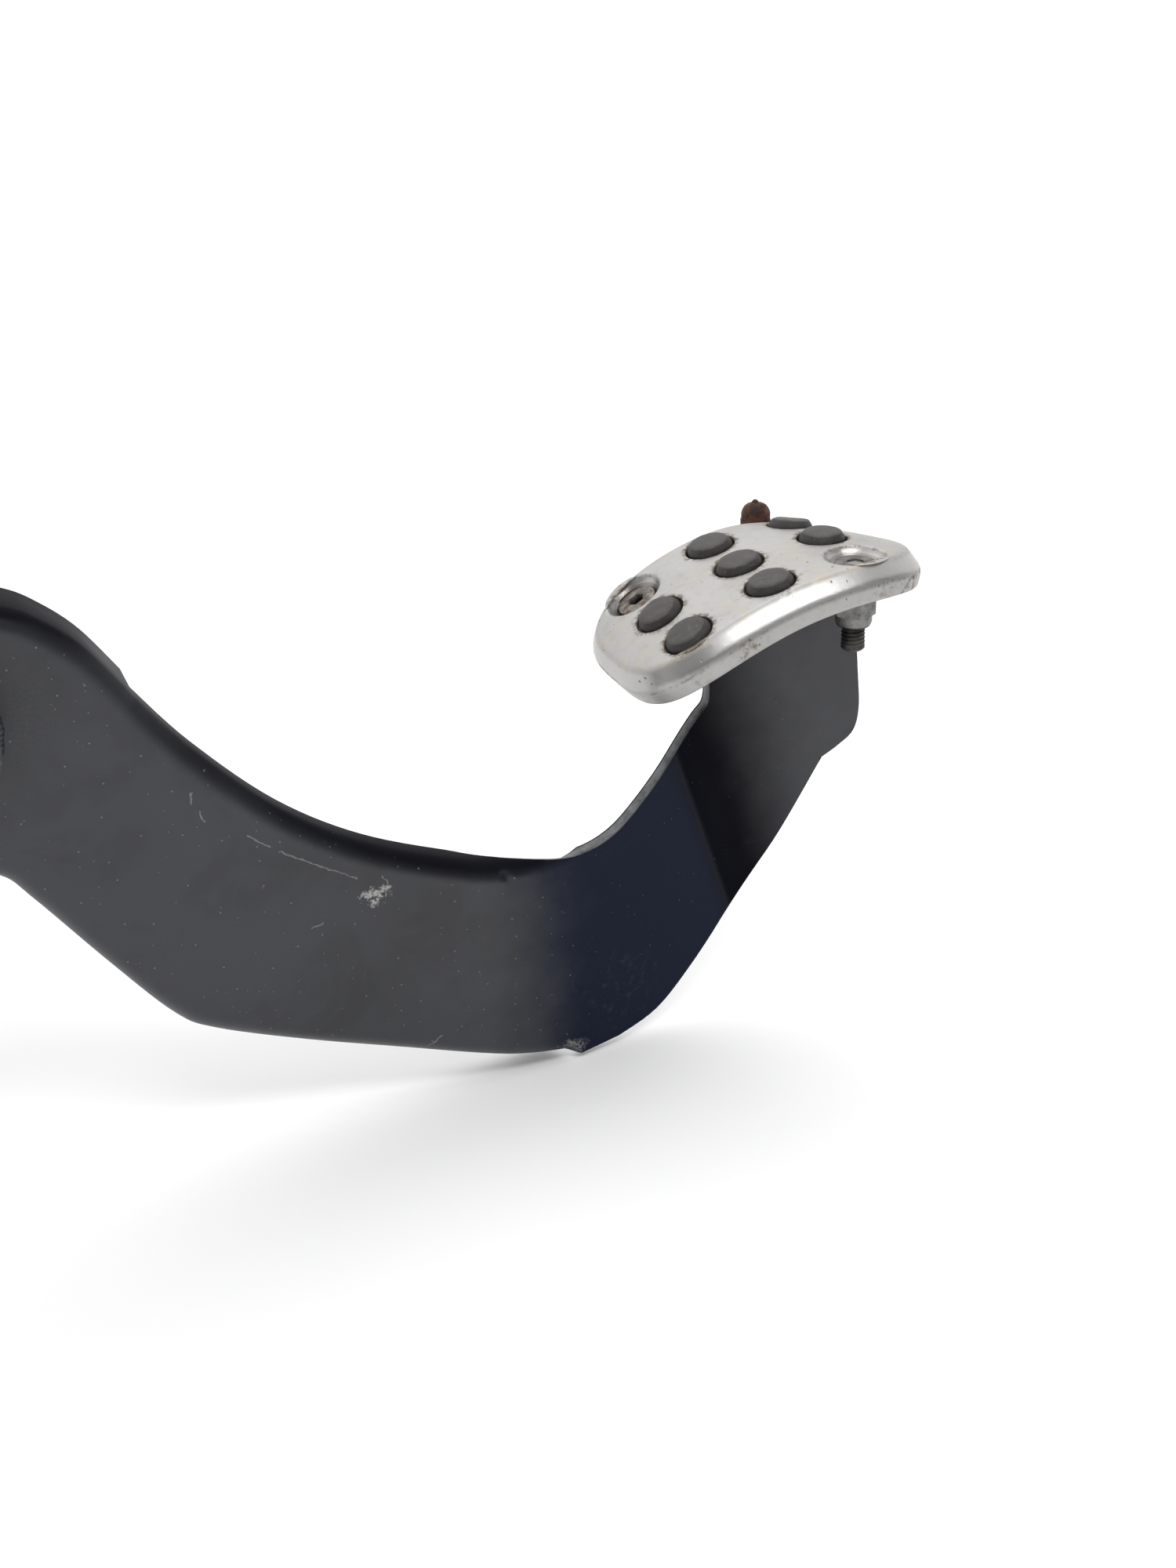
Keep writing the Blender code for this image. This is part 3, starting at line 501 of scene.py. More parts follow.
def paintFinish(name, worn=0.0, edge=0.0, details=False):
    def build(g, place):
        base, dust = paint["base"], paint["dust"]
        drift = g.cloud(place, 0.025, 3, 0.5)
        grain = g.cloud(place, 1.6, 5, 0.7)
        fine = g.cloud(place, 6.0, 3, 0.6)
        patchy = g.cloud(place, 0.055, 5, 0.6, 0.4)
        shade = g.step(drift, 0.38, 0.66) * 0.6 + g.step(patchy, 0.46, 0.66) * 0.4
        colour = g.mix(shade, base, tuple(c * 0.3 for c in base))
        rough = patchy * 0.14 + (paint["rough"] - 0.07) + fine * 0.05
        height = grain * 0.6 + fine * 0.4
        if edge:
            # lighter grey on the edges: worn paint; on the cut edges it is also a painted highlight
            wearAndSheen = g.step(g.cloud(place, 0.22, 6, 0.65), 0.38, 0.66)
            colour = g.mix(wearAndSheen * edge, colour, paint["edge"])
            rough = rough + wearAndSheen * 0.12
        if details:
            x, y, z = g.axis(place, "X"), g.axis(place, "Y"), g.axis(place, "Z")
            lean = x + z * paint["lean"]
            cloudy = g.cloud(place, 0.06, 4, 0.6)
            # painted dark reflection: the set-in ramp between the two bends is tinted dark navy
            ramp = g.step(x + cloudy * 20, *paint["rampReflectionFrom"]) * g.step(lean, *paint["rampReflectionTo"])
            front = g.step(y, 8, 2)
            colour = g.mix(ramp * front, colour, paint["rampReflection"])
            # painted shade: a dark stripe across the arm between the set-in ramp and the tab under the pad
            shadeStripe = g.step(lean, *paint["shadeStripeFrom"]) * g.step(lean + cloudy * 10, *paint["shadeStripeTo"])
            colour = g.mix(shadeStripe * front * 0.85, colour, paint["dark"])
            facing = g.add("ShaderNodeNewGeometry", out="Normal")
            # painted shade: surfaces that face up, such as the rolled top flange, are darkened and reflect little
            rolled = g.step(g.axis(facing, "Z"), 0.04, 0.75)
            colour = g.mix(rolled * 0.8, colour, paint["dark"])
            matt = rolled | (ramp * front * 0.85) | (shadeStripe * front)
            # a patchy darker spot on the web near the lobe
            darkPatch = g.step(g.away(place, paint["darkPatchSpot"]), 17, 5) * g.step(grain, 0.35, 0.6)
            colour = g.mix(darkPatch * 0.5, colour, paint["dark"])
            wavy = g.vector("SUBTRACT", g.cloud(place, 0.5, 3, 0.6).other("Color"), (0.5, 0.5, 0.5))
            warped = g.vector("ADD", place, g.vector("SCALE", wavy, scale=1.6))
            lines = 0.0
            for (x1, z1), (x2, z2) in paint["scratches"]:
                flat = g.vector("MULTIPLY", warped, (1, 0, 1))
                lines = g.stroke(flat, (x1, 0, z1), (x2, 0, z2), 0.26) | lines
            lines = lines * g.step(fine, 0.36, 0.56) * 0.42
            near = g.beside(place, paint["chip"], 1.25)
            chip = g.step(near + g.cloud(place, 0.45, 5, 0.75) * 12, 9.8, 8.0) * g.step(
                g.cloud(place, 0.8, 4, 0.65), 0.44, 0.56) * 0.85
            near = g.beside(place, paint["barePatch"], 1.6)
            patch = g.step(near + g.cloud(place, 0.35, 5, 0.75) * 14, 12, 9.6)
            patch = patch * g.step(grain, 0.40, 0.58)
            outside = g.step(y, -13, -15)
            marks = (lines | chip | patch * 0.6) * outside
            dent = g.beside(warped, paint["ring"])
            size = paint["ringSize"]
            ring = g.step(dent, size - 1.0, size) * g.step(dent, size + 0.9, size + 0.2)
            haze = ring * g.step(grain, 0.45, 0.62) * outside
            smear = g.step(g.away(place, paint["smear"]), 17, 6) * g.step(
                g.cloud(place, 0.4, 6, 0.7), 0.5, 0.68)
            colour = g.mix((haze * 0.07) | (smear * 0.10), colour, dust)
            colour = g.mix(marks, colour, paint["bare"])
            plan = g.add("ShaderNodeCombineXYZ", {}, {"X": x, "Y": z, "Z": 0.0})
            flecks = g.specks(plan, 0.13, 0.034, 0.5, "2D") | g.specks(plan, 0.31, 0.055, 0.14, "2D")
            colour = g.mix(flecks * outside * 0.75, colour, dust)
            rough = rough + marks * 0.1 + (haze + smear) * 0.12
            height = height + marks * -1.6
        spots = g.specks(place, 0.42, 0.10, 0.30) | g.specks(place, 0.9, 0.12, 0.10)
        colour = g.mix(spots * 0.34, colour, dust)
        scuffs = g.cloud(g.stretched(place, (0.03, 0.03, 1.9), (0.2, 0.5, 0.3)), 1.0, 4, 0.6)
        scuffs = g.step(scuffs, 0.66, 0.72) * g.step(g.cloud(place, 0.06, 2, 0.5), 0.52, 0.66)
        colour = g.mix(scuffs * 0.10, colour, dust)
        if worn:
            chips = g.step(g.cloud(place, 0.30, 6, 0.75), 0.60 - worn * 0.16, 0.68 - worn * 0.12)
            colour = g.mix(chips * 0.34, colour, tuple(c * 0.40 for c in paint["bare"]))
            rough = rough + chips * 0.08
        values = {"Base Color": colour, "Roughness": rough, "Specular IOR Level": 0.62,
                  "Normal": g.bump(height, 0.16, 0.00012)}
        return {**values, "Matt": matt} if details else values
    return finish(name, build)


armPaint = paintFinish("arm paint", details=True)
# the cut edges are lighter grey, partly worn paint and partly a painted highlight
edgePaint = paintFinish("cut edge paint", worn=0.4, edge=0.85)
cornerPaint = paintFinish("rubbed corner paint", worn=0.75, edge=0.35)
blackPaint = paintFinish("black paint", worn=0.12)
bracketPaint = paintFinish("bracket paint", worn=0.08)

cast = {
    "bright": (0.41, 0.405, 0.395), "dull": (0.32, 0.312, 0.30), "dirt": (0.125, 0.088, 0.055),
    "stain": (0.46, 0.395, 0.305), "nick": (0.07, 0.058, 0.048), "rough": 0.36, "pitch": (24.0, 16.25),
}


def castFinish(g, place):
    # flat is the place on the pad before it was bent: along, across, out of the face
    flat = g.add("ShaderNodeAttribute", {"attribute_name": "flat"}, out="Vector")
    s, t, h = g.axis(flat, "X"), g.axis(flat, "Y"), g.axis(flat, "Z")
    pitchS, pitchT = cast["pitch"]
    spot = g.vector("WRAP", flat, (pitchS / 2, pitchT / 2, 500))
    spot.socket.node.inputs[2].default_value = (-pitchS / 2, -pitchT / 2, -500)
    ring = g.vector("LENGTH", g.vector("MULTIPLY", spot, (1, 1, 0)), out="Value")
    inside = g.step(abs(s), 36, 34) * g.step(abs(t), 26, 24.5)
    cloudy = g.cloud(flat, 0.05, 3, 0.5)
    mottle = g.cloud(flat, 0.35, 6, 0.65)
    grain = g.cloud(flat, 3.2, 4, 0.7)
    brushed = g.cloud(g.stretched(flat, (0.12, 2.2, 2.2), (0, 0, 0.5)), 1.0, 4, 0.6)
    colour = g.mix(g.step(cloudy, 0.35, 0.7) * 0.35 + g.step(mottle, 0.45, 0.75) * 0.4,
                   cast["bright"], cast["dull"])
    onTop = g.step(h, -1.2, -0.4)
    onSkirt = g.step(h, -3.4, -4.2)
    litChamfer = (1 - onTop) * (1 - onSkirt)
    lip = g.step(ring, 8.8, 6.6) * onTop * inside
    dirt = lip * g.step(g.cloud(flat, 0.55, 6, 0.7) + lip * 0.14, 0.55, 0.69)
    stain = g.step(g.cloud(flat, 0.11, 5, 0.65), 0.46, 0.66) * onTop
    low = g.step(t, 6, -22) | g.step(s, -20, -40)
    nicks = g.specks(g.vector("MULTIPLY", flat, (1.6, 0.8, 1)), 0.36, 0.16, 0.45) * g.step(
        g.cloud(flat, 0.09, 2, 0.5), 0.42, 0.56)
    skirtDirt = onSkirt * g.step(g.cloud(flat, 0.45, 6, 0.72), 0.50, 0.62) * g.step(
        g.cloud(flat, 0.045, 2, 0.5) + g.step(s, 0, 40) * 0.22, 0.46, 0.62)
    seam = g.step(abs(h + 4.4), 0.5, 0.1) * g.step(g.cloud(flat, 0.3, 5, 0.7), 0.50, 0.60)
    colour = g.mix(stain * (0.22 + low * 0.30), colour, cast["stain"])
    # painted highlight: the chamfer band between the top and the skirt is made lighter
    colour = g.mix(litChamfer * 0.55, colour, tuple(min(1, c * 1.12) for c in cast["bright"]))
    grime = (dirt * 0.85) | (skirtDirt * 0.8) | (seam * 0.45)
    colour = g.mix(grime, colour, cast["dirt"])
    marks = nicks * (0.3 + low * 0.6)
    colour = g.mix(marks * 0.85, colour, cast["nick"])
    # darker inside the stud holes and near the bottom edge of the skirt, in the dirt colour
    under = g.step(h, -8.0, -8.6) | g.step(ring, 6.75, 6.4) * inside
    colour = g.mix(under * 0.45, colour, cast["dirt"])
    metal = 0.92 - (grime | marks) * 0.75
    rough = (cast["rough"] + mottle * 0.10 + brushed * 0.06 - litChamfer * 0.12) + (grime | marks) * 0.35
    height = mottle * 0.5 + grain * 0.35 + brushed * 0.3 - marks * 2.0 - dirt * 0.5
    return {"Base Color": colour, "Roughness": rough, "Metallic": metal,
            "Normal": g.bump(height, 0.22, 0.00025)}


rubberLook = {
    "base": (0.038, 0.034, 0.032), "worn": (0.066, 0.059, 0.056), "dirt": (0.022, 0.015, 0.011),
    "dust": (0.24, 0.20, 0.155),
}


def rubberFinish(name, dusty, dark):
    def build(g, place):
        mottle = g.cloud(place, 0.28, 6, 0.65)
        grain = g.cloud(place, 3.0, 4, 0.7)
        scrape = g.cloud(g.stretched(place, (0.25, 2.4, 0.6), (0.3, 0.2, 0.9)), 1.0, 4, 0.6)
        colour = g.mix(g.step(mottle, 0.35, 0.7), tuple(c * dark for c in rubberLook["base"]),
                       tuple(c * dark for c in rubberLook["worn"]))
        colour = g.mix(g.step(scrape, 0.60, 0.72) * 0.30, colour, rubberLook["dust"])
        colour = g.mix(g.step(g.cloud(place, 0.7, 6, 0.75), 0.58, 0.70) * 0.6, colour, rubberLook["dirt"])
        colour = g.mix(g.specks(place, 0.7, 0.16, 0.35) * dusty, colour, rubberLook["dust"])
        rough = mottle * 0.2 + 0.42 + grain * 0.1
        return {"Base Color": colour, "Roughness": rough, "Specular IOR Level": 0.45,
                "Normal": g.bump(mottle * 0.8 + grain * 0.4 + scrape * 0.4, 0.3, 0.0004)}
    return finish(name, build)


metals = {
    "zinc plate": {"base": (0.22, 0.217, 0.214), "other": (0.12, 0.117, 0.114),
                   "dirt": (0.060, 0.048, 0.038), "metal": 0.92, "rough": 0.34, "grime": 0.35},
    "thread": {"base": (0.040, 0.038, 0.037), "other": (0.085, 0.080, 0.076),
               "dirt": (0.020, 0.016, 0.013), "metal": 0.85, "rough": 0.42, "grime": 0.60},
    "front screw": {"base": (0.19, 0.184, 0.178), "other": (0.09, 0.084, 0.08),
                    "dirt": (0.050, 0.034, 0.022), "metal": 0.85, "rough": 0.34, "grime": 0.60},
    "rear screw": {"base": (0.17, 0.145, 0.125), "other": (0.30, 0.28, 0.26),
                   "dirt": (0.075, 0.032, 0.014), "metal": 0.6, "rough": 0.48, "grime": 1.0},
    "spring steel": {"base": (0.040, 0.041, 0.045), "other": (0.075, 0.073, 0.07),
                     "dirt": (0.09, 0.055, 0.035), "metal": 0.8, "rough": 0.36, "grime": 0.30},
    "bearing bronze": {"base": (0.43, 0.27, 0.12), "other": (0.30, 0.185, 0.085),
                       "dirt": (0.05, 0.038, 0.028), "metal": 0.95, "rough": 0.36, "grime": 0.55},
}


def metalFinish(name):
    look = metals[name]

    def build(g, place):
        mottle = g.cloud(place, 0.32, 5, 0.6)
        grain = g.cloud(place, 4.0, 4, 0.7)
        brushed = g.cloud(g.stretched(place, (0.5, 0.5, 3.0)), 1.0, 4, 0.6)
        colour = g.mix(g.step(mottle, 0.36, 0.68), look["base"], look["other"])
        colour = g.mix(g.step(brushed, 0.55, 0.75) * 0.35, colour, tuple(c * 1.3 for c in look["base"]))
        dirt = g.step(g.cloud(place, 0.42, 6, 0.72),
                      0.62 - look["grime"] * 0.14, 0.74 - look["grime"] * 0.10)
        colour = g.mix(dirt * 0.8, colour, look["dirt"])
        rough = look["rough"] + mottle * 0.12 + dirt * 0.35
        return {"Base Color": colour, "Roughness": rough, "Metallic": look["metal"] - dirt * 0.6,
                "Normal": g.bump(mottle * 0.5 + grain * 0.4 + brushed * 0.3, 0.2, 0.0002)}
    return finish(name, build)


rusty = {"deep": (0.030, 0.013, 0.009), "brown": (0.115, 0.042, 0.020), "orange": (0.24, 0.095, 0.035),
         "black": (0.014, 0.010, 0.009)}


def rustFinish(g, place):
    mottle = g.cloud(place, 0.30, 6, 0.7)
    scale = g.cloud(place, 1.1, 6, 0.75)
    colour = g.mix(g.step(mottle, 0.38, 0.62), rusty["deep"], rusty["brown"])
    colour = g.mix(g.step(scale, 0.56, 0.70), colour, rusty["orange"])
    colour = g.mix(g.step(g.cloud(place, 0.6, 4, 0.6), 0.62, 0.72) * 0.5, colour, rusty["black"])
    rough = 0.72 + scale * 0.2
    return {"Base Color": colour, "Roughness": rough, "Metallic": g.step(scale, 0.45, 0.3) * 0.3,
            "Normal": g.bump(scale * 1.2 + mottle * 0.6, 0.5, 0.0005)}


castAluminium = finish("cast aluminium", castFinish)
studRubber = rubberFinish("stud rubber", 0.35, 1.0)
matRubber = rubberFinish("mat rubber", 0.1, 0.45)
bumperRubber = rubberFinish("bumper rubber", 0.5, 0.35)
zinc, threadSteel, screwSteel, rustyScrew, springSteel, bronze = [metalFinish(name) for name in metals]
rust = finish("rust", rustFinish)
print("finishes ready:", len(bpy.data.materials))

# ---------- pad ----------

pad = {
    "x": 250.0, "z": 10.0, "tilt": -18.0, "arch": 92.5, "droopRadius": 52.0, "droopStart": 17.0,
    "half": 45.2, "halfWidth": 28.5, "shift": 1.2, "squareness": 3.3, "pitch": (24.0, 16.25),
    "skirt": 8.6, "sheet": 2.2, "hole": 6.5, "seat": 7.9,
    "matTop": -3.0, "matBottom": -6.4, "matHole": 9.0,
    "saddleTop": -6.8, "saddleBottom": -9.8, "saddleInset": 5.0, "saddleHole": 3.3,
    "stud": 6.15, "studRise": 1.75, "cut": 2.2, "stopS": 23.0, "stopT": 34.0,
}
padFrame = (Matrix.Translation(Vector((pad["x"], 0, pad["z"])) * mm)
            @ Matrix.Rotation(math.radians(pad["tilt"]), 4, "Y"))
screwSpots = [(-pad["pitch"][0], pad["pitch"][1]), (pad["pitch"][0], -pad["pitch"][1])]
studSpots = [(i * pad["pitch"][0], j * pad["pitch"][1]) for i in (-1, 0, 1) for j in (-1, 0, 1)]
studSpots = [spot for spot in studSpots if spot not in screwSpots]


def padPoint(s, t, h):
    past = max(0.0, (s + t) / math.sqrt(2) - pad["droopStart"])
    radius = pad["arch"] + h - past * past / (2 * pad["droopRadius"])
    angle = s / pad["arch"]
    return Vector((radius * math.sin(angle), t, radius * math.cos(angle) - pad["arch"]))


def padSpot(s, t):
    # a frame on the face of the pad, square to it
    along = padPoint(s + 0.5, t, 0) - padPoint(s - 0.5, t, 0)
    across = padPoint(s, t + 0.5, 0) - padPoint(s, t - 0.5, 0)
    lean = Vector((0, 0, 1)).rotation_difference(along.cross(across)).to_matrix().to_4x4()
    return padFrame @ Matrix.Translation(padPoint(s, t, 0) * mm) @ lean


def padOutline(inset, count=160):
    points = []
    for i in range(count):
        angle = 2 * math.pi * i / count
        c, d = math.cos(angle), math.sin(angle)
        power = 2 / pad["squareness"]
        s = math.copysign(abs(c) ** power, c) * (pad["half"] - inset)
        t = math.copysign(abs(d) ** power, d) * (pad["halfWidth"] - inset)
        points.append((s + pad["shift"], t))
    return points


def bentPlate(name, rim, holes):
    # rim and holes are rings of (inset or radius, height) from the top face to the underside
    shape = bmesh.new()
    edgesOf = {"top": [], "under": []}

    def ring(points, height):
        return [shape.verts.new((s, t, height)) for s, t in points]

    def wall(rings):
        for first, second in zip(rings, rings[1:]):
            for i in range(len(first)):
                j = (i + 1) % len(first)
                shape.faces.new((first[i], first[j], second[j], second[i]))
        for side, chosen in (("top", rings[0]), ("under", rings[-1])):
            for a, b in zip(chosen, chosen[1:] + chosen[:1]):
                edgesOf[side].append(shape.edges.get((a, b)))

    wall([ring(padOutline(inset), height) for inset, height in rim])
    for s, t, profile in holes:
        wall([ring([(s + r * math.cos(math.tau * k / 56), t + r * math.sin(math.tau * k / 56))
                    for k in range(56)], height) for r, height in profile])
    for side in edgesOf:
        bmesh.ops.triangle_fill(shape, use_beauty=True, use_dissolve=False, edges=edgesOf[side])
    bmesh.ops.recalc_face_normals(shape, faces=shape.faces)
    for i in range(1, int(2 * pad["half"] / pad["cut"])):
        cutAcross(shape, (pad["shift"] - pad["half"] + i * pad["cut"], 0, 0), (1, 0, 0), 0.12)
    for i in range(1, int(2 * pad["halfWidth"] / pad["cut"])):
        cutAcross(shape, (0, -pad["halfWidth"] + i * pad["cut"], 0), (0, 1, 0), 0.12)
    flats = [tuple(vert.co) for vert in shape.verts]
    for vert in shape.verts:
        vert.co = padPoint(*vert.co)
    made = toObject(name, shape, padFrame)
    layer = made.data.attributes.new("flat", "FLOAT_VECTOR", "POINT")
    layer.data.foreach_set("vector", [value for point in flats for value in point])
    tidy = made.modifiers.new("normals", "WEIGHTED_NORMAL")
    tidy.keep_sharp = True
    return settle(made)


def holeProfile(radius, top, under, edge=0.45):
    return [(radius + edge, top), (radius + edge * 0.5, top - edge * 0.12),
            (radius + edge * 0.13, top - edge * 0.5), (radius, top - edge), (radius, under + edge),
            (radius + edge * 0.3, under + edge * 0.2), (radius + edge, under)]


skirt, sheet, seat = -pad["skirt"], pad["sheet"], pad["seat"]
coverRim = [(4.9, 0), (4.35, -0.07), (3.85, -0.3), (3.35, -0.72), (1.25, -2.85), (0.75, -3.4),
            (0.35, -4.05), (0.1, -4.7), (0, -5.4), (0, skirt + 0.9), (0.08, skirt + 0.45),
            (0.35, skirt + 0.1), (0.8, skirt), (1.6, skirt), (sheet - 0.1, skirt + 0.2),
            (sheet, skirt + 0.6), (sheet, -5.2), (sheet + 0.3, -4.2), (sheet + 1.2, -3.1),
            (sheet + 2.8, -2.4), (sheet + 4.2, -sheet)]
seatProfile = [(seat + 0.35, 0), (seat, -0.1), (seat - 0.35, -0.4), (seat - 0.6, -0.95), (seat - 1.2, -1.6),
               (3.9, -4.4), (3.5, -4.7), (3.5, -6.2), (3.7, -6.4), (seat + 0.2, -6.4), (seat + 0.5, -6.1),
               (seat + 0.5, -2.6), (seat + 0.9, -sheet)]
coverHoles = [(s, t, holeProfile(pad["hole"], 0, -sheet)) for s, t in studSpots]
coverHoles += [(s, t, seatProfile) for s, t in screwSpots]
cover = bentPlate("padCover", coverRim, coverHoles)
keep(cover, "padCover", [castAluminium], "pad_cover")

inset, top, under = sheet + 1.8, pad["matTop"], pad["matBottom"]
matRim = [(inset + 0.4, top), (inset, top - 0.4), (inset, under + 0.4), (inset + 0.4, under)]
mat = bentPlate("mat", matRim,
                [(s, t, holeProfile(pad["matHole"], top, under)) for s, t in screwSpots])

stud, rise = pad["stud"], pad["studRise"]
studProfile = [(0, rise), (2.0, rise - 0.02), (3.4, rise - 0.08), (stud - 1.65, rise - 0.18),
               (stud - 1.35, rise - 0.3), (stud - 1.15, rise - 0.5), (stud - 0.6, rise - 1.3),
               (stud - 0.35, rise - 1.75), (stud - 0.2, rise - 2.3), (stud, top - 0.4), (0, top - 0.4)]
studShape = spun(studProfile, Matrix.Identity(4), 64)
studPoints = [padSpot(s, t) for s, t in studSpots]
mesh = bpy.data.meshes.new("stud points")
mesh.from_pydata([spot.translation for spot in studPoints], [], [])
facing = mesh.attributes.new("facing", "FLOAT_VECTOR", "POINT")
facing.data.foreach_set("vector", [value for spot in studPoints for value in spot.to_3x3().col[2]])
studs = grow(newObject("studs", mesh), scatterTree, {"Piece": studShape, "Seed": 4, "Finish": studRubber})
bpy.data.objects.remove(studShape)
for vert in studs.data.vertices:             # worn: each stud is a little uneven
    spot = vert.co / mm
    vert.co += (noise.noise_vector(spot * 0.23) * 0.16 + noise.noise_vector(spot * 0.9) * 0.05) * mm
studs.data.set_sharp_from_angle(angle=math.radians(40))
insert = weld([mat, studs], "rubberInsert")
keep(insert, "rubberInsert", [matRubber, studRubber], "rubber_insert")
for face in insert.data.polygons:            # only the tops of the studs get the lighter stud rubber; the rest is the darker mat rubber
    here = padFrame.inverted() @ face.center / mm
    high = math.hypot(here.x, here.z + pad["arch"]) - pad["arch"]
    past = max(0.0, (here.x + here.y) / math.sqrt(2) - pad["droopStart"])
    face.material_index = 1 if high + past * past / (2 * pad["droopRadius"]) > rise - 0.42 else 0

inset, top, under = pad["saddleInset"], pad["saddleTop"], pad["saddleBottom"]
saddleRim = [(inset + 0.6, top), (inset + 0.15, top - 0.15), (inset, top - 0.6),
             (inset, under + 0.6), (inset + 0.15, under + 0.15), (inset + 0.6, under)]
saddle = bentPlate("padSaddle", saddleRim,
                   [(s, t, holeProfile(pad["saddleHole"], top, under)) for s, t in screwSpots])
keep(saddle, "padSaddle", [blackPaint], "pad_saddle")
print("pad plates made")

padScrew = {"radius": 3.0, "head": 5.3, "headTop": -1.9, "neck": -4.8, "thread": -9.0, "end": -24.8,
            "socket": 4.0, "deep": 2.3, "pitch": 1.0, "depth": 0.55}
padNut = {"flats": 10.0, "hex": 5.0, "collar": 4.6, "high": 8.0, "bore": 3.3, "gap": 0.3, "turn": 0.2}


def socketScrew(where):
    top, end, head, r = padScrew["headTop"], padScrew["end"], padScrew["head"], padScrew["radius"]
    body = [(0, top), (head - 0.5, top), (head - 0.15, top - 0.12), (head, top - 0.4),
            (r - 0.02, padScrew["neck"]), (r - 0.02, padScrew["thread"]), (r, padScrew["thread"]),
            (r, end + 0.6), (r - 0.6, end), (0, end)]
    body = spun(body, where, 48, thread=padScrew)
    floor = top - padScrew["deep"]
    well = [(0, top + 1), (9, top + 1), (9, floor), (0, floor - 0.8)]
    return carve(body, spun(well, where, 72, flats=padScrew["socket"]))


def lockNut(where, flats, top, hexHigh, collar, bottom, bore, turn):
    # hexagon with turned corners, a domed collar and its nylon ring
    corner = flats / math.sqrt(3)
    hexEnd = top - hexHigh
    crown = [(flats / 2 - 0.15, top), (flats / 2 + 0.12, top - 0.05)]
    crown += [(flats / 2 + 0.12 + i * 0.18, top - 0.05 - i * 0.11) for i in range(1, 5)]
    crown += [(corner - 0.12, top - 0.9), (corner - 0.12, hexEnd + 0.8)]
    crown += [(flats / 2 + 0.1 + (4 - i) * 0.18, hexEnd + 0.45 - i * 0.11) for i in range(1, 5)]
    sleeve = [(collar, hexEnd - 0.05), (collar, bottom + 1.0), (collar - 0.2, bottom + 0.4),
              (collar - 0.7, bottom), (bore + 0.9, bottom), (bore + 0.75, bottom + 0.25),
              (bore + 0.7, bottom + 0.9), (bore, bottom + 1.0), (bore, top - 0.5), (bore + 0.5, top)]
    return spun(crown + sleeve, where, 72, flats=flats, turn=turn, loop=True)


for side, (s, t), steel in (("Rear", screwSpots[0], rustyScrew), ("Front", screwSpots[1], screwSteel)):
    node = side.lower()
    where = padSpot(s, t)
    screw = socketScrew(where)
    keep(screw, "padScrew" + side, [steel, threadSteel], "pad_screw_" + node)
    for face in screw.data.polygons:
        local = where.inverted() @ face.center / mm
        # the socket's inside takes the dark thread steel, so it is darker than the head
        inSocket = math.hypot(local.x, local.y) < 2.45 and local.z < padScrew["headTop"] - 0.05
        face.material_index = 1 if local.z < -6 or inSocket else 0
    nutTop = pad["saddleBottom"] - padNut["gap"]
    nut = lockNut(where, padNut["flats"], nutTop, padNut["hex"], padNut["collar"],
                  nutTop - padNut["high"], padNut["bore"], padNut["turn"])
    keep(nut, "padNut" + side, [zinc], "pad_nut_" + node)
print("pad fixings made")

# ---------- stop behind the pad ----------

stop = {"lugTop": -14.5, "lugSheet": 2.5, "lugRadius": 6.0, "lugHole": 2.8, "flats": 8.0,
        "capHex": (-4.2, -9.2), "thread": {"radius": 2.5, "pitch": 0.8, "depth": 0.42}}


def roughen(obj, amount, scale):
    # eaten surface of a rusty piece
    for vert in obj.data.vertices:
        spot = vert.co / mm * scale
        vert.co += (noise.noise_vector(spot) * amount + noise.noise_vector(spot * 3.1) * amount * 0.4) * mm
    return obj


angle = pad["stopS"] / pad["arch"]
base = Vector((pad["arch"] * math.sin(angle), pad["stopT"], pad["arch"] * (math.cos(angle) - 1)))
stopFrame = padFrame @ Matrix.Translation(base * mm) @ Matrix.Rotation(angle, 4, "Y")
top, low, wide = stop["lugTop"], stop["lugSheet"], stop["lugRadius"]
reach = 2.3 - pad["stopT"]
tongue = slab([(-wide, reach), (wide, reach)] + arc((0, 0), wide, 0, 180, 28), top - low, top, stopFrame)
drill(tongue, stop["lugHole"], stopFrame, 0, -30, 48)
keep(soften(tongue, 0.45, 3), "stopLug", [blackPaint], "stop_lug")

under = top - low
headTop, headEnd = under - 0.3, under - 3.8
shank = [(0, -1.5), (2.1, -1.5), (2.5, -1.9), (2.5, under - 0.5)]
head = [(0, headTop), (3.7, headTop), (4.3, headTop - 0.35), (4.55, headTop - 0.6), (4.55, headEnd + 0.6),
        (4.2, headEnd + 0.2), (3.8, headEnd), (0, headEnd)]
bolt = weld([spun(shank, stopFrame, 48, thread=stop["thread"]),
             spun(head, stopFrame, 72, flats=stop["flats"])], "stopBolt")
keep(roughen(bolt, 0.12, 0.7), "stopBolt", [rust], "stop_bolt")

nutTop, nutEnd = top + 3.2, top + 0.3
nut = [(3.85, nutTop), (4.2, nutTop - 0.15), (4.55, nutTop - 0.5), (4.55, nutEnd + 0.5),
       (4.2, nutEnd + 0.15), (3.85, nutEnd), (3.2, nutEnd), (2.75, nutEnd + 0.4), (2.75, nutTop - 0.4),
       (3.2, nutTop)]
nut = spun(nut, stopFrame, 72, flats=stop["flats"], turn=0.3, loop=True)
keep(roughen(nut, 0.12, 0.7), "stopNut", [rust], "stop_nut")

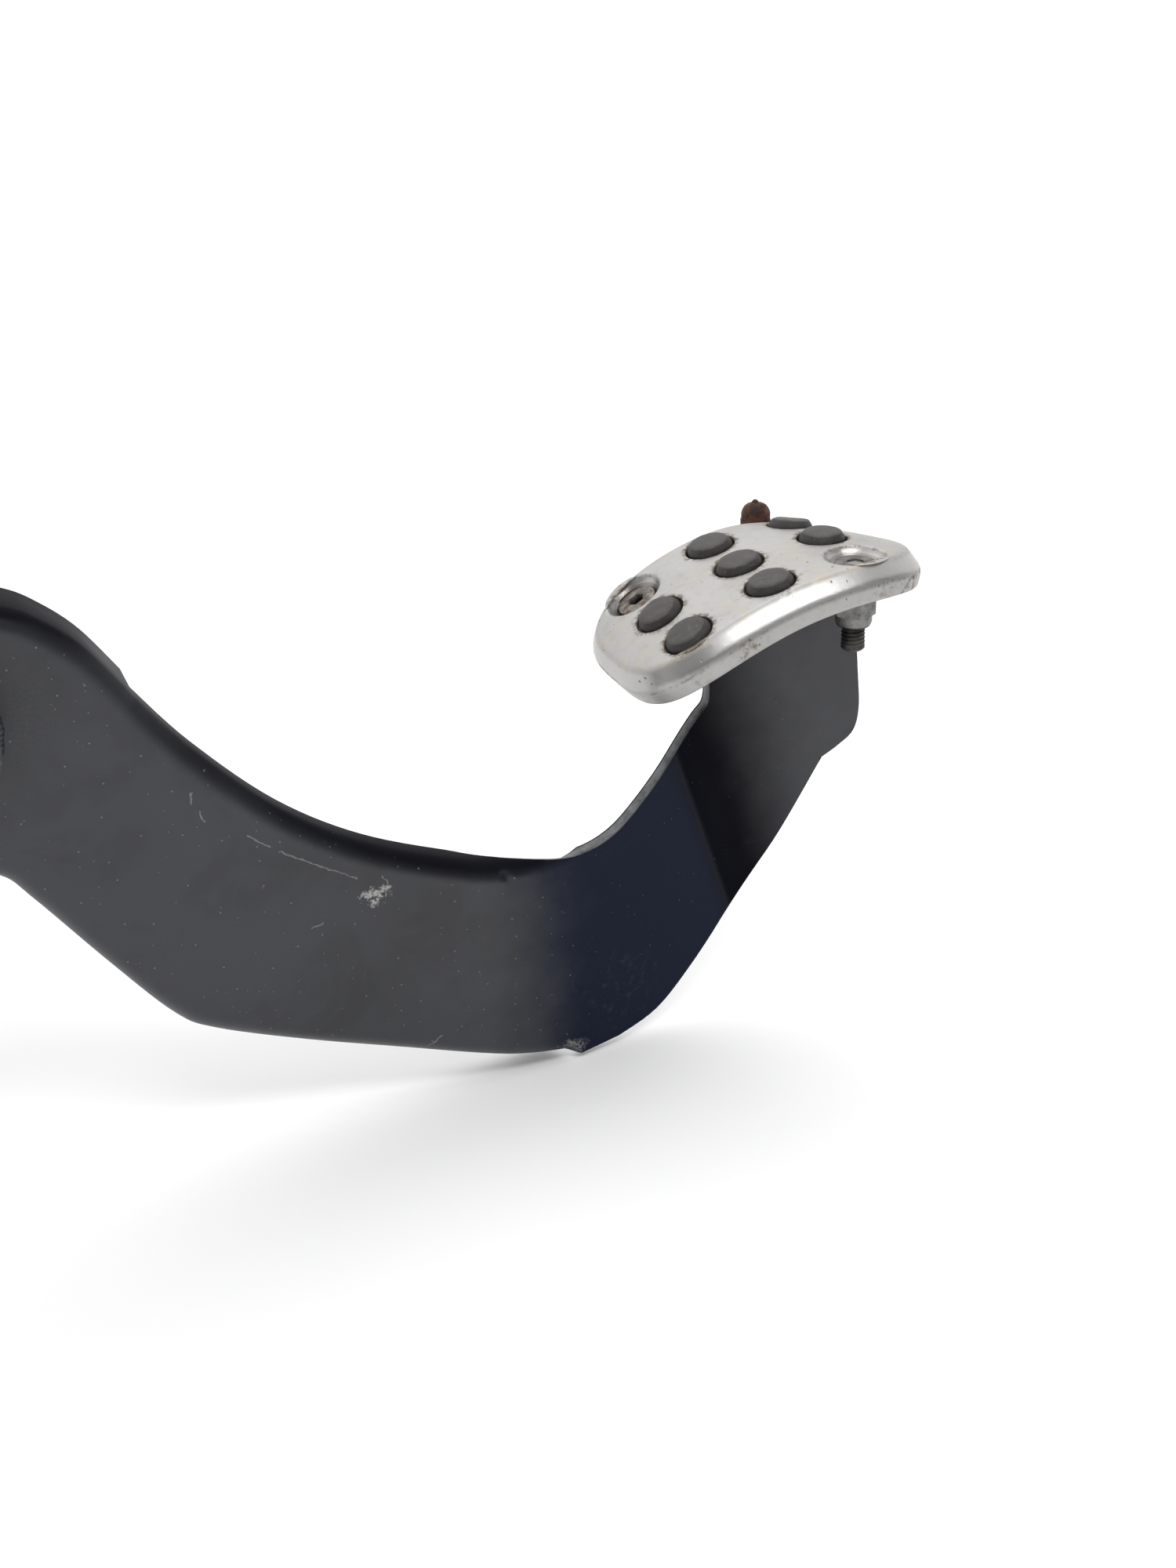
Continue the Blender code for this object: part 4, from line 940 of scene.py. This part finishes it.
hexTop, hexEnd = stop["capHex"]
cap = [(0, 1.2), (0.45, 1.15), (0.75, 0.9), (0.95, 0.45), (1.5, 0.3), (2.2, 0.05), (2.9, -0.5),
       (3.4, -1.2), (3.8, -2.0), (3.95, -3.0), (3.95, hexTop), (4.2, hexTop - 0.08),
       (4.45, hexTop - 0.3), (4.55, hexTop - 0.6), (4.55, hexEnd + 0.5), (4.2, hexEnd + 0.1),
       (3.9, hexEnd), (3.1, hexEnd), (2.75, hexEnd + 0.4), (2.75, -1.5), (0, -1.3)]
rows = []
for (r1, z1), (r2, z2) in zip(cap, cap[1:]):
    rows += [(r1 + (r2 - r1) * k / 3, z1 + (z2 - z1) * k / 3) for k in range(3)]
cap = spun(rows + [cap[-1]], stopFrame, 72, flats=stop["flats"], turn=0.1)
keep(roughen(cap, 0.18, 0.55), "stopCapNut", [rust], "stop_cap_nut")
print("stop made")

# ---------- arm ----------

arm = {
    "sheet": 4.0, "face": -16.0, "setIn": 14.0, "bend": 5.0, "bendX": 192.0, "lean": 0.366, "second": 223.8,
    "softness": 0.16, "lobeFlange": 18.0, "upperFlange": 10.0, "lowerFlange": 12.0, "corner": 0.55,
    "flangeEnd": 203.0, "flangeFade": 36.0, "fade": 9.0, "hubHole": 13.2, "earHole": 3.3,
    "lobeTop": [(40, 23.5), (52, 27), (65, 27.6), (77.3, 24.6), (84.5, 20.3), (91.6, 13.7), (99, 3.3)],
    "upper": [(99.8, 1.9), (110.9, -12.5), (128.7, -30.3), (148.3, -43), (171.5, -52.2), (182, -54.3)],
    "inner": [(192, -55), (202.5, -56), (211, -54.4), (218.5, -50), (229.3, -40.7), (238.9, -29.6),
              (242.1, -25.2), (241.6, -17), (239.2, -9)],
    "lower": [(58, -32.5), (67.4, -34.8), (73.5, -42.1), (87, -61.2), (99.5, -77.6), (108.5, -84.3),
              (131, -93.6), (154.4, -102), (181.4, -111.3), (202, -115.4)],
    "outer": [(214, -114.2), (226, -110.2), (236.5, -101.5), (248.5, -88.5), (263.6, -69.4), (275.6, -49)],
    "shoulder": [(277, -46.6), (281.8, -43.9), (286.2, -40.2), (287.4, -33.5), (286, -22), (283.4, -3)],
    "ear": (28.0, -2.0, 10.0), "heel": [(20, 23), (16.3, 22), (14.3, 20), (14.3, 8), (17, 3)],
    "crease": ((181.0, -56.5), (185.2, -63.0)), "pressedRing": (206.6, -92.9), "ringSize": 7.0,
}


def setIn(x, z):
    # how far the sheet is set in: a ramp between two rolled bends
    soft = arm["softness"]
    u = (x - arm["bendX"]) / (arm["second"] - arm["lean"] * z - arm["bendX"])
    if u <= -soft:
        return 0.0
    if u < soft:
        return arm["setIn"] * (u + soft) ** 2 / (4 * soft)
    if u <= 1 - soft:
        return arm["setIn"] * u
    if u < 1 + soft:
        return arm["setIn"] * (1 - (1 + soft - u) ** 2 / (4 * soft))
    return arm["setIn"]


def pressed(x, z):
    # small dents and the waviness of a pressing
    rx, rz = arm["pressedRing"]
    gap = math.hypot(x - rx, (z - rz) * 0.92) - arm["ringSize"]
    depth = 0.12 * math.exp(-(gap / 0.9) ** 2)
    a, b = Vector(arm["crease"][0]), Vector(arm["crease"][1])
    spot = Vector((x, z))
    run = min(1, max(0, (spot - a).dot(b - a) / (b - a).length_squared))
    depth += 0.75 * (1 - run * 0.7) * math.exp(-((spot - a - (b - a) * run).length / 0.9) ** 2)
    return depth + noise.noise(Vector((x, 0, z)) * 0.035) * 0.22


def eased(depth, share):
    share = min(1, max(0, share))
    return depth * share * share * (3 - 2 * share)


def runOut(points, depth, fadesIn):
    # flange depth along a run, fading out over its ends
    lengths = [0.0]
    for a, b in zip(points, points[1:]):
        lengths.append(lengths[-1] + math.dist(a, b))
    fade = arm["fade"]
    return [eased(depth, min(length / fade if fadesIn else 1, (lengths[-1] - length) / fade))
            for length in lengths]


def upperDepth(x, z):
    # the upper flange runs out into the first bend
    if x >= arm["flangeEnd"] or z >= 5:
        return 0.0
    return eased(arm["upperFlange"], (arm["flangeEnd"] - x) / arm["flangeFade"])


def underSaddle(s, gap):
    # a point just under the saddle, in the plane of the arm
    spot = padFrame @ (padPoint(s, 0, pad["saddleBottom"] - gap) * mm)
    return spot.x / mm, spot.z / mm


pivotX, pivotZ = frame["joints"][0]["pos_m"][0] / mm, frame["joints"][0]["pos_m"][2] / mm
earX, earZ, earR = arm["ear"]
armFinishes = [armPaint, edgePaint, cornerPaint]


def makeArm():
    ear = arc((earX, earZ), earR, 180, 245, 14)
    throat = smooth([ear[-1], (36, -17), (46, -25), arm["lower"][0]], 6)[1:-1]
    lower = smooth(arm["lower"], 7)
    right = smooth(arm["outer"], 6) + smooth(arm["shoulder"], 6)
    underPad = [underSaddle(27 - k * 43 / 22, 0.3) for k in range(23)]
    inner = smooth(arm["inner"], 5)[::-1]
    upper = smooth(arm["upper"], 7)[::-1]
    lobe = smooth(arm["lobeTop"], 6)[::-1]
    heel = smooth([lobe[-1]] + arm["heel"] + [ear[0]], 4)[1:-1]
    runs = [(ear, 0), (throat, 0), (lower, arm["lowerFlange"]), (right, 0), (underPad, 0), (inner, 0),
            (upper, arm["upperFlange"]), (lobe, arm["lobeFlange"]), (heel, 0)]
    points, depths = [], []
    for run, depth in runs:
        points += run
        if run is inner or run is upper:
            depths += [upperDepth(x, z) for x, z in run]
        elif depth:
            depths += runOut(run, depth, run is not lobe)
        else:
            depths += [0.0] * len(run)
    count = len(points)
    shape = bmesh.new()
    steps, radius, sheet, corner = 8, arm["bend"], arm["sheet"], arm["corner"]
    grid = []
    for i, ((x, z), depth) in enumerate(zip(points, depths)):
        a, b = Vector(points[i - 1]), Vector(points[(i + 1) % count])
        along = (b - a).normalized()
        inward = Vector((-along.y, along.x))
        most = math.acos(max(0.0, 1 - depth / radius)) if depth > 0.05 else 0.0
        shift = radius * math.sin(most)
        straight = max(0.0, depth - radius)

        def spot(angle, thick, back=0.0, extra=0.0):
            off = shift - radius * math.sin(angle) + thick * math.sin(angle) + back * math.cos(angle)
            deep = radius * (1 - math.cos(angle)) + thick * math.cos(angle) - back * math.sin(angle) + extra
            return Vector((x + inward.x * off, deep, z + inward.y * off))

        def sweep(thick):
            return [spot(most * k / steps, thick, corner if k == steps and not straight else 0)
                    for k in range(steps + 1)]

        rim = [(0, corner), (corner * 0.3, corner * 0.3), (corner, 0), (sheet - corner, 0),
               (sheet - corner * 0.3, corner * 0.3), (sheet, corner)]
        column = sweep(0) + [spot(most, thick, back, straight) for thick, back in rim] + sweep(sheet)[::-1]
        verts = []
        for point in column:
            if verts and (verts[-1].co - point).length < 0.02:
                verts.append(verts[-1])
            else:
                verts.append(shape.verts.new(point))
        grid.append(verts)
    for i in range(count):
        here, after = grid[i], grid[(i + 1) % count]
        for k in range(len(here) - 1):
            corners = list(dict.fromkeys([here[k], here[k + 1], after[k + 1], after[k]]))
            if len(corners) > 2:
                face = shape.faces.new(corners)
                face.material_index = 1 if k == steps + 3 else 2 if steps < k < steps + 6 else 0
    for end in (0, -1):
        shape.faces.new([column[end] for column in grid])
    flat = toObject("flat arm", shape)
    for one in armFinishes:
        flat.data.materials.append(one)
    drill(flat, arm["hubHole"], crossways(pivotX, pivotZ), 30, -30, 96)
    drill(flat, arm["earHole"], crossways(earX, earZ), 30, -30, 96)
    shape = bmesh.new()
    shape.from_mesh(flat.data)
    bpy.data.objects.remove(flat)
    bmesh.ops.transform(shape, matrix=Matrix.Scale(1 / mm, 4), verts=shape.verts)
    # cuts are closer at the two bends, the crease and the ring
    planesX = [i * 8.0 for i in range(2, 23)] + [178 + i * 1.5 for i in range(58)] + [266, 272, 278, 284]
    planesX += [181.75 + i * 1.5 for i in range(3)] + [199.75 + i * 1.5 for i in range(10)]
    planesZ = [-112 + i * 4.0 for i in range(35)]
    planesZ += [-102.5 + i for i in range(20)] + [-64.5 + i for i in range(9)]
    for x in sorted(set(planesX)):
        cutAcross(shape, (x, 0, 0), (1, 0, 0), 0.2)
    for z in sorted(set(planesZ)):
        cutAcross(shape, (0, 0, z), (0, 0, 1), 0.2)
    for vert in shape.verts:
        x, y, z = vert.co
        vert.co.y = y + arm["face"] + setIn(x, z) + pressed(x, z) - 0.11
    return toObject("arm", shape, sharp=42)


armObject = keep(makeArm(), "pedalArm", armFinishes, "pedal_arm")
print("arm made:", len(armObject.data.polygons), "faces")

# ---------- hub, bushes and pivot ----------


def turnedPart(node, name, profile, finishes, slot, centre=None, **extra):
    x, z = centre or (pivotX, pivotZ)
    return keep(spun(profile, crossways(x, z), **extra), name, finishes, node)


def stack(node):
    # radius and both ends of a part on the crossways axis; outer side first
    low, high = sizes(node)
    return (high.x - low.x) / 2, -low.y, -high.y


hub = {"bore": 10.0, "doublerBore": 13.25, "doublerGaps": [(20, 140, 5), (200, 320, 6)],
       "beadPitch": 1.15, "tabPitch": 1.2}


def bead(points, size, seed, pitch):
    return grow(polyline(points), rippleTree, {
        "Pitch": pitch * mm, "Radius": size * mm, "Seed": seed, "Finish": blackPaint})


def hubBead(radius, y, size, seed, start=0, stop=360):
    line = [(x, y, z) for x, z in arc((pivotX, pivotZ), radius, start, stop, 90)]
    return bead(line, size, seed, hub["beadPitch"])


radius, front, back = stack("hub_tube")
doublerRadius, doublerFront, doublerBack = stack("hub_doubler")
tube = spun(ringProfile(radius, hub["bore"], front, back, 0.5), crossways(pivotX, pivotZ), 96, loop=True)
webFront, webBack = arm["face"], arm["face"] + arm["sheet"]
beads = [hubBead(radius + 0.7, webFront - 0.1, 1.7, 3)]
beads += [hubBead(doublerRadius + 0.3, webBack + 0.9, 1.6, seed, start, stop)
          for start, stop, seed in hub["doublerGaps"]]
beads.append(hubBead(radius + 0.8, -doublerBack + 0.3, 1.6, 8))
keep(weld([tube] + beads, "hubTube"), "hubTube", [blackPaint], "hub_tube")
turnedPart("hub_doubler", "hubDoubler",
           ringProfile(doublerRadius, hub["doublerBore"], doublerFront, doublerBack, 0.4),
           [blackPaint], "black_paint", loop=True, sides=96)

tabLine = [underSaddle(24 - k, 0.5) for k in range(40)]
padWeld = weld([bead([(x, face, z) for x, z in tabLine], 1.5, seed, hub["tabPitch"])
                for face, seed in ((-2.6, 11), (2.6, 12))], "padWeld")
padWeld.data.materials.append(blackPaint)
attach(padWeld, "pedal")

bush = {"bore": 8.0, "outer": 9.7, "flange": 1.5}
for side, way in (("front", 1), ("rear", -1)):
    radius, outerEnd, innerEnd = stack("bush_" + side)
    if way < 0:
        outerEnd, innerEnd = innerEnd, outerEnd
    step = outerEnd - way * bush["flange"]
    corners = [(bush["bore"], outerEnd), (radius, outerEnd), (radius, step),
               (bush["outer"], step), (bush["outer"], innerEnd), (bush["bore"], innerEnd)]
    profile = rounded(corners + corners[:2], 0.3)[1:-1]
    profile = list(dict.fromkeys((round(r, 4), round(z, 4)) for r, z in profile))
    turnedPart("bush_" + side, "bush" + side.title(), profile, [bronze], "bronze", loop=True)

pivotBolt = {"radius": 5.0, "flats": 16.0, "head": 6.4, "pitch": 1.25, "depth": 0.62, "grip": 30.0,
             "clearance": 5.3, "nutHex": 6.5, "nutCollar": 7.5, "nutTurn": 0.4}
pivotFrame = crossways(pivotX, pivotZ)
for node, name, edge in (("pivot_sleeve", "pivotSleeve", 0.3),
                         ("pivot_washer_front", "pivotWasherFront", 0.35),
                         ("pivot_washer_rear", "pivotWasherRear", 0.35)):
    radius, front, back = stack(node)
    turnedPart(node, name, ringProfile(radius, pivotBolt["clearance"], front, back, edge),
               [zinc], "zinc", loop=True)

radius, front, back = stack("pivot_bolt")
r, f, headEnd = pivotBolt["radius"], pivotBolt["flats"] / 2, front - pivotBolt["head"]
threadTop = back + pivotBolt["grip"]
shank = [(0, headEnd + 1), (r - 0.02, headEnd + 1), (r - 0.02, threadTop), (r, threadTop),
         (r, back + 1.0), (r - 1.0, back), (0, back)]
shank = spun(shank, pivotFrame, 64, thread=pivotBolt)
head = [(0, front - 0.5), (3.2, front - 0.5), (3.7, front - 0.35), (4.2, front), (f - 0.4, front),
        (f, front - 0.08), (f + 0.35, front - 0.25), (f + 0.7, front - 0.5), (f + 1.12, front - 0.85),
        (f + 1.12, headEnd + 0.7), (f + 0.8, headEnd + 0.5), (f + 0.3, headEnd + 0.3), (f - 0.1, headEnd),
        (0, headEnd)]
head = spun(head, pivotFrame, 72, flats=2 * f)
keep(weld([shank, head], "pivotBolt"), "pivotBolt", [zinc], "pivot_bolt")
radius, nutTop, nutEnd = stack("pivot_nut")
nut = lockNut(pivotFrame, 2 * f, nutTop, pivotBolt["nutHex"], pivotBolt["nutCollar"], nutEnd,
              pivotBolt["clearance"], pivotBolt["nutTurn"])
keep(nut, "pivotNut", [zinc], "pivot_nut")
print("pivot made")

# ---------- bracket and buffer ----------

bracket = {"plate": 4.0, "bend": 4.5, "nose": 14.0, "shoulder": 16.0, "pivotHole": 5.3,
           "bufferSpot": (-14.0, 15.0),
           "holes": [(4.25, 4.0, 31.0), (4.25, 4.0, -25.0), (3.3, -14.0, 15.0), (2.0, 12.2, 15.0)]}
low, high = sizes("pivot_bracket")
plate, bend, shoulder = bracket["plate"], bracket["bend"], bracket["shoulder"]
inside = bend - plate
channel = [(high.x + 2, low.y)] + arc((bend, low.y + bend), bend, 270, 180, 8)
channel += arc((bend, high.y - bend), bend, 180, 90, 8)
channel += [(high.x + 2, high.y), (high.x + 2, high.y - plate)]
channel += arc((bend, high.y - bend), inside, 90, 180, 4) + arc((bend, low.y + bend), inside, 180, 270, 4)
channel += [(high.x + 2, low.y + plate)]
frameBracket = slab(channel, low.z - 5, high.z + 5)
side = arc((pivotX, pivotZ), bracket["nose"], -62, 62, 40)
side = (rounded([(-1, low.z), (shoulder, low.z), side[0]], 6, 8) + side[1:-1]
        + rounded([side[-1], (shoulder, high.z), (-1, high.z)], 6, 8))
carve(frameBracket, slab(side, -60, 60, crossways(0, 0)), "INTERSECT")
drill(frameBracket, bracket["pivotHole"], pivotFrame, 60, -60, 64)
for radius, y, z in bracket["holes"]:
    drill(frameBracket, radius, forwards(y, z), 12, -12, 40)
keep(soften(frameBracket, 0.45, 2), "pivotBracket", [bracketPaint], "pivot_bracket")

bumper = [(0, 14), (3.2, 13.95), (4.6, 13.7), (5.6, 13.2), (6.4, 12.3), (6.9, 11.2), (7.0, 10.2),
          (6.7, 8.6), (6.6, 7.6), (6.75, 6.2), (7.0, 5.4), (7.0, 4.7), (6.6, 4.3), (3.0, 4.3), (2.9, 2.2),
          (3.05, 1.4), (2.7, 0.8), (0, 0.8)]
bumper = spun(bumper, forwards(*bracket["bufferSpot"]), 56)
keep(bumper, "stopBumper", [bumperRubber], "stop_bumper")
print("bracket made")

# ---------- return spring ----------

spring = {"coil": 15.0, "wire": 1.4, "tailY": 12.2, "headY": -6.2, "turns": 5, "tailX": 1.5, "headX": 79.5,
          "steps": 40, "sides": 16}


coil = []
total, top = spring["turns"] * spring["steps"], pivotZ + spring["coil"]
for k in range(total + 1):
    angle = math.pi / 2 - 2 * math.pi * k / spring["steps"]
    y = spring["tailY"] + (spring["headY"] - spring["tailY"]) * k / total
    coil.append((pivotX + spring["coil"] * math.cos(angle), y, pivotZ + spring["coil"] * math.sin(angle)))
tail = [(spring["tailX"] + k * 4.0, spring["tailY"], top) for k in range(14)]
tail = [point for point in tail if point[0] < pivotX - 3]
headLeg = [(pivotX + 4 + k * 2.5, spring["headY"], top) for k in range(7)]
route = tail + coil + headLeg + [(spring["headX"], spring["headY"], top)]
spiral = grow(polyline(route), wireTree, {
    "Sides": spring["sides"], "Radius": spring["wire"] * mm, "Finish": springSteel})
spiral.data.set_sharp_from_angle(angle=math.radians(50))
keep(spiral, "returnSpring", [], "return_spring", blended=True)
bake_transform(spiral)
print("spring made")

# ---------- pull rod ----------

fork = {"half": 5.5, "slot": 5.0, "cheek": 3.0, "slotEnd": -24.0, "end": -38.0, "hole": 3.3, "flats": 10.0,
        "radius": 3.0, "rodTop": -29.0, "pitch": 1.0, "depth": 0.5, "threadEnd": -56.0}
middle = arm["face"] + arm["sheet"] / 2
wide = fork["slot"] + 2 * fork["cheek"]
half = fork["half"]
outline = [(-half, fork["end"]), (half, fork["end"])] + arc((0, earZ), half, 0, 180, 36)
rodFrame = Matrix.Translation(Vector((earX, middle, 0)) * mm)
earFrame = crossways(earX, earZ)
upright = Matrix.Rotation(math.pi / 2, 4, "X")
clevis = slab(outline, -wide / 2, wide / 2, rodFrame @ upright)
gap = fork["slot"] / 2
roof = arc((0, 0), gap, 0, -180, 16)
slot = [(gap, 30)] + [(u, fork["slotEnd"] + gap + v) for u, v in roof] + [(-gap, 30)]
carve(clevis, slab(slot, -20, 20, rodFrame @ Matrix.Rotation(math.pi / 2, 4, "Z") @ upright))
drill(clevis, fork["hole"], earFrame, 40, -40, 48)
drill(clevis, fork["hole"], rodFrame, -27, -60, 48)
keep(soften(clevis, 0.5, 3), "clevisFork", [zinc], "clevis")

r = fork["radius"]
low, high = sizes("pull_rod")
rodTop, threadEnd = fork["rodTop"], fork["threadEnd"]
rodShape = [(0, rodTop), (r - 0.5, rodTop), (r, rodTop - 0.5), (r, threadEnd), (r - 0.05, threadEnd),
            (r - 0.05, low.z + 0.5), (r - 0.5, low.z), (0, low.z)]
keep(spun(rodShape, rodFrame, 48, thread=fork), "pullRod", [zinc], "pull_rod")
low, high = sizes("rod_nut")
f = fork["flats"] / 2
nut = [(f - 0.1, high.z), (f + 0.25, high.z - 0.15), (f + 0.55, high.z - 0.4), (f + 0.68, high.z - 0.6),
       (f + 0.68, low.z + 0.6), (f + 0.55, low.z + 0.4), (f + 0.25, low.z + 0.15), (f - 0.1, low.z),
       (3.9, low.z), (3.3, low.z + 0.5), (3.3, high.z - 0.5), (3.9, high.z)]
keep(spun(nut, rodFrame, 72, flats=2 * f, loop=True), "rodNut", [zinc], "rod_nut")

pins = {"pin": 3.0, "washerBore": 3.3, "drilled": 1.2, "wire": 0.52, "eye": 1.95, "legGap": 0.5}
radius, front, back = stack("clevis_pin")
p = pins["pin"]
pin = [(0, front), (radius - 0.7, front), (radius - 0.2, front - 0.15), (radius, front - 0.5),
       (radius, front - 1.4), (radius - 0.15, front - 1.5), (p, front - 1.5), (p, back + 0.8),
       (p - 0.2, back + 0.3), (p - 0.7, back), (0, back)]
pin = spun(pin, earFrame, 56)
low, high = sizes("split_pin")
y = (low.y + high.y) / 2
drill(pin, pins["drilled"], earFrame @ Matrix.Translation((0, 0, -y * mm)) @ upright, 6, -6, 32)
keep(pin, "clevisPin", [zinc], "clevis_pin")
radius, front, back = stack("pin_washer")
turnedPart("pin_washer", "pinWasher", ringProfile(radius, pins["washerBore"], front, back, 0.25),
           [zinc], "zinc", centre=(earX, earZ), loop=True)

legs = []
for way in (-1, 1):
    x = earX + way * pins["legGap"]
    spread = [(x + way * 0.9, y, low.z + 0.6), (x + way * 0.35, y, low.z + 1.6), (x, y, low.z + 2.6)]
    straight = [(x, y, low.z + 2.6 + k * 0.9) for k in range(1, 9)]
    legs.append(smooth(spread + straight, 3))
top = legs[0][-1][2]
eye = [(earX + u, y, top + 1.9 + v) for u, v in arc((0, 0), pins["eye"], -75, 255, 28)]
splitPin = grow(polyline(legs[1] + eye + legs[0][::-1]), wireTree, {
    "Sides": 14, "Radius": pins["wire"] * mm, "Finish": zinc})
splitPin.data.set_sharp_from_angle(angle=math.radians(50))
keep(splitPin, "splitPin", [], "split_pin")
print("pull rod made")

# ---------- floor, light and camera ----------

studio = {
    "floor": -117.0, "reach": 9000, "colour": (0.93, 0.93, 0.925), "glow": 0.4,
    "dim": (0.22, 0.22, 0.225), "bright": (1.15, 1.15, 1.16),
    "camera": (70.58, -334.01, 128.61), "heading": -22.588, "pitch": 64.527, "roll": 0.259, "lens": 36.0,
}


def floorFinish(g, place):
    soft = g.cloud(place, 0.004, 3, 0.5)
    fine = g.cloud(place, 0.8, 3, 0.6)
    colour = g.mix(g.step(soft, 0.3, 0.7) * 0.5, studio["colour"],
                   tuple(c * 0.975 for c in studio["colour"]))
    far = g.step(g.away(place, (140, 0, studio["floor"])), 350, 2600)
    glow = g.mix(far, (0.16, 0.16, 0.16), (1.0, 1.0, 1.0))
    return {"Base Color": colour, "Roughness": fine * 0.1 + 0.6, "Normal": g.bump(fine, 0.05, 0.0002),
            "Emission Color": glow, "Emission Strength": studio["glow"]}


reach, level = studio["reach"], studio["floor"]
corners = [Vector((x * reach, y * reach, level)) * mm for x, y in ((-1, -1), (1, -1), (1, 1), (-1, 1))]
mesh = bpy.data.meshes.new("backdrop")
mesh.from_pydata(corners, [], [(0, 1, 2, 3)])
mesh.shade_smooth()
backdrop = newObject("backdrop", mesh)
backdrop.data.materials.append(finish("backdrop", floorFinish))

lights = {                                   # place, aim, width, height, watts, colour
    "overhead": ((0.2, 1.9, 2.6), (0.2, 0.3, 0.0), 3.2, 2.4, 22, (1.0, 0.995, 0.985)),
    "softbox": ((0.22, -0.62, 1.05), (0.26, 0, 0), 1.0, 0.30, 6, (1.0, 1.0, 1.0)),
}
for name, (place, aim, width, height, watts, colour) in lights.items():
    data = bpy.data.lights.new(name, "AREA")
    data.shape = "RECTANGLE"
    data.size, data.size_y = width, height
    data.energy = watts
    data.color = colour
    lamp = newObject(name, data)
    lamp.location = place
    lamp.rotation_euler = (Vector(aim) - Vector(place)).to_track_quat("-Z", "Y").to_euler()

world = bpy.data.worlds.new("studio")
bpy.context.scene.world = world
world.use_nodes = True
sky = Graph(world.node_tree)
world.node_tree.nodes.clear()
way = sky.add("ShaderNodeTexCoord", out="Generated")
behind = sky.step(sky.axis(way, "Y") + sky.axis(way, "Z") * 0.5, -0.15, 0.35)
low = sky.step(sky.axis(way, "Z"), 0.22, 0.02)
tone = sky.mix(behind | low, studio["dim"], studio["bright"])
background = sky.add("ShaderNodeBackground", {}, {"Color": tone, "Strength": 1.0})
worldOut = world.node_tree.nodes.new("ShaderNodeOutputWorld")
world.node_tree.links.new(background.socket, worldOut.inputs["Surface"])
bpy.context.scene.view_settings.view_transform = "Standard"

cameraData = bpy.data.cameras.new("camera")
cameraData.lens = studio["lens"]
cameraData.sensor_width = 36.0
cameraData.clip_start = 0.01
camera = newObject("camera", cameraData)
camera.matrix_world = (Matrix.Translation(Vector(studio["camera"]) * mm)
                       @ Matrix.Rotation(math.radians(studio["heading"]), 4, "Z")
                       @ Matrix.Rotation(math.radians(studio["pitch"]), 4, "X")
                       @ Matrix.Rotation(math.radians(studio["roll"]), 4, "Z"))
bpy.context.scene.camera = camera
print("stage ready")
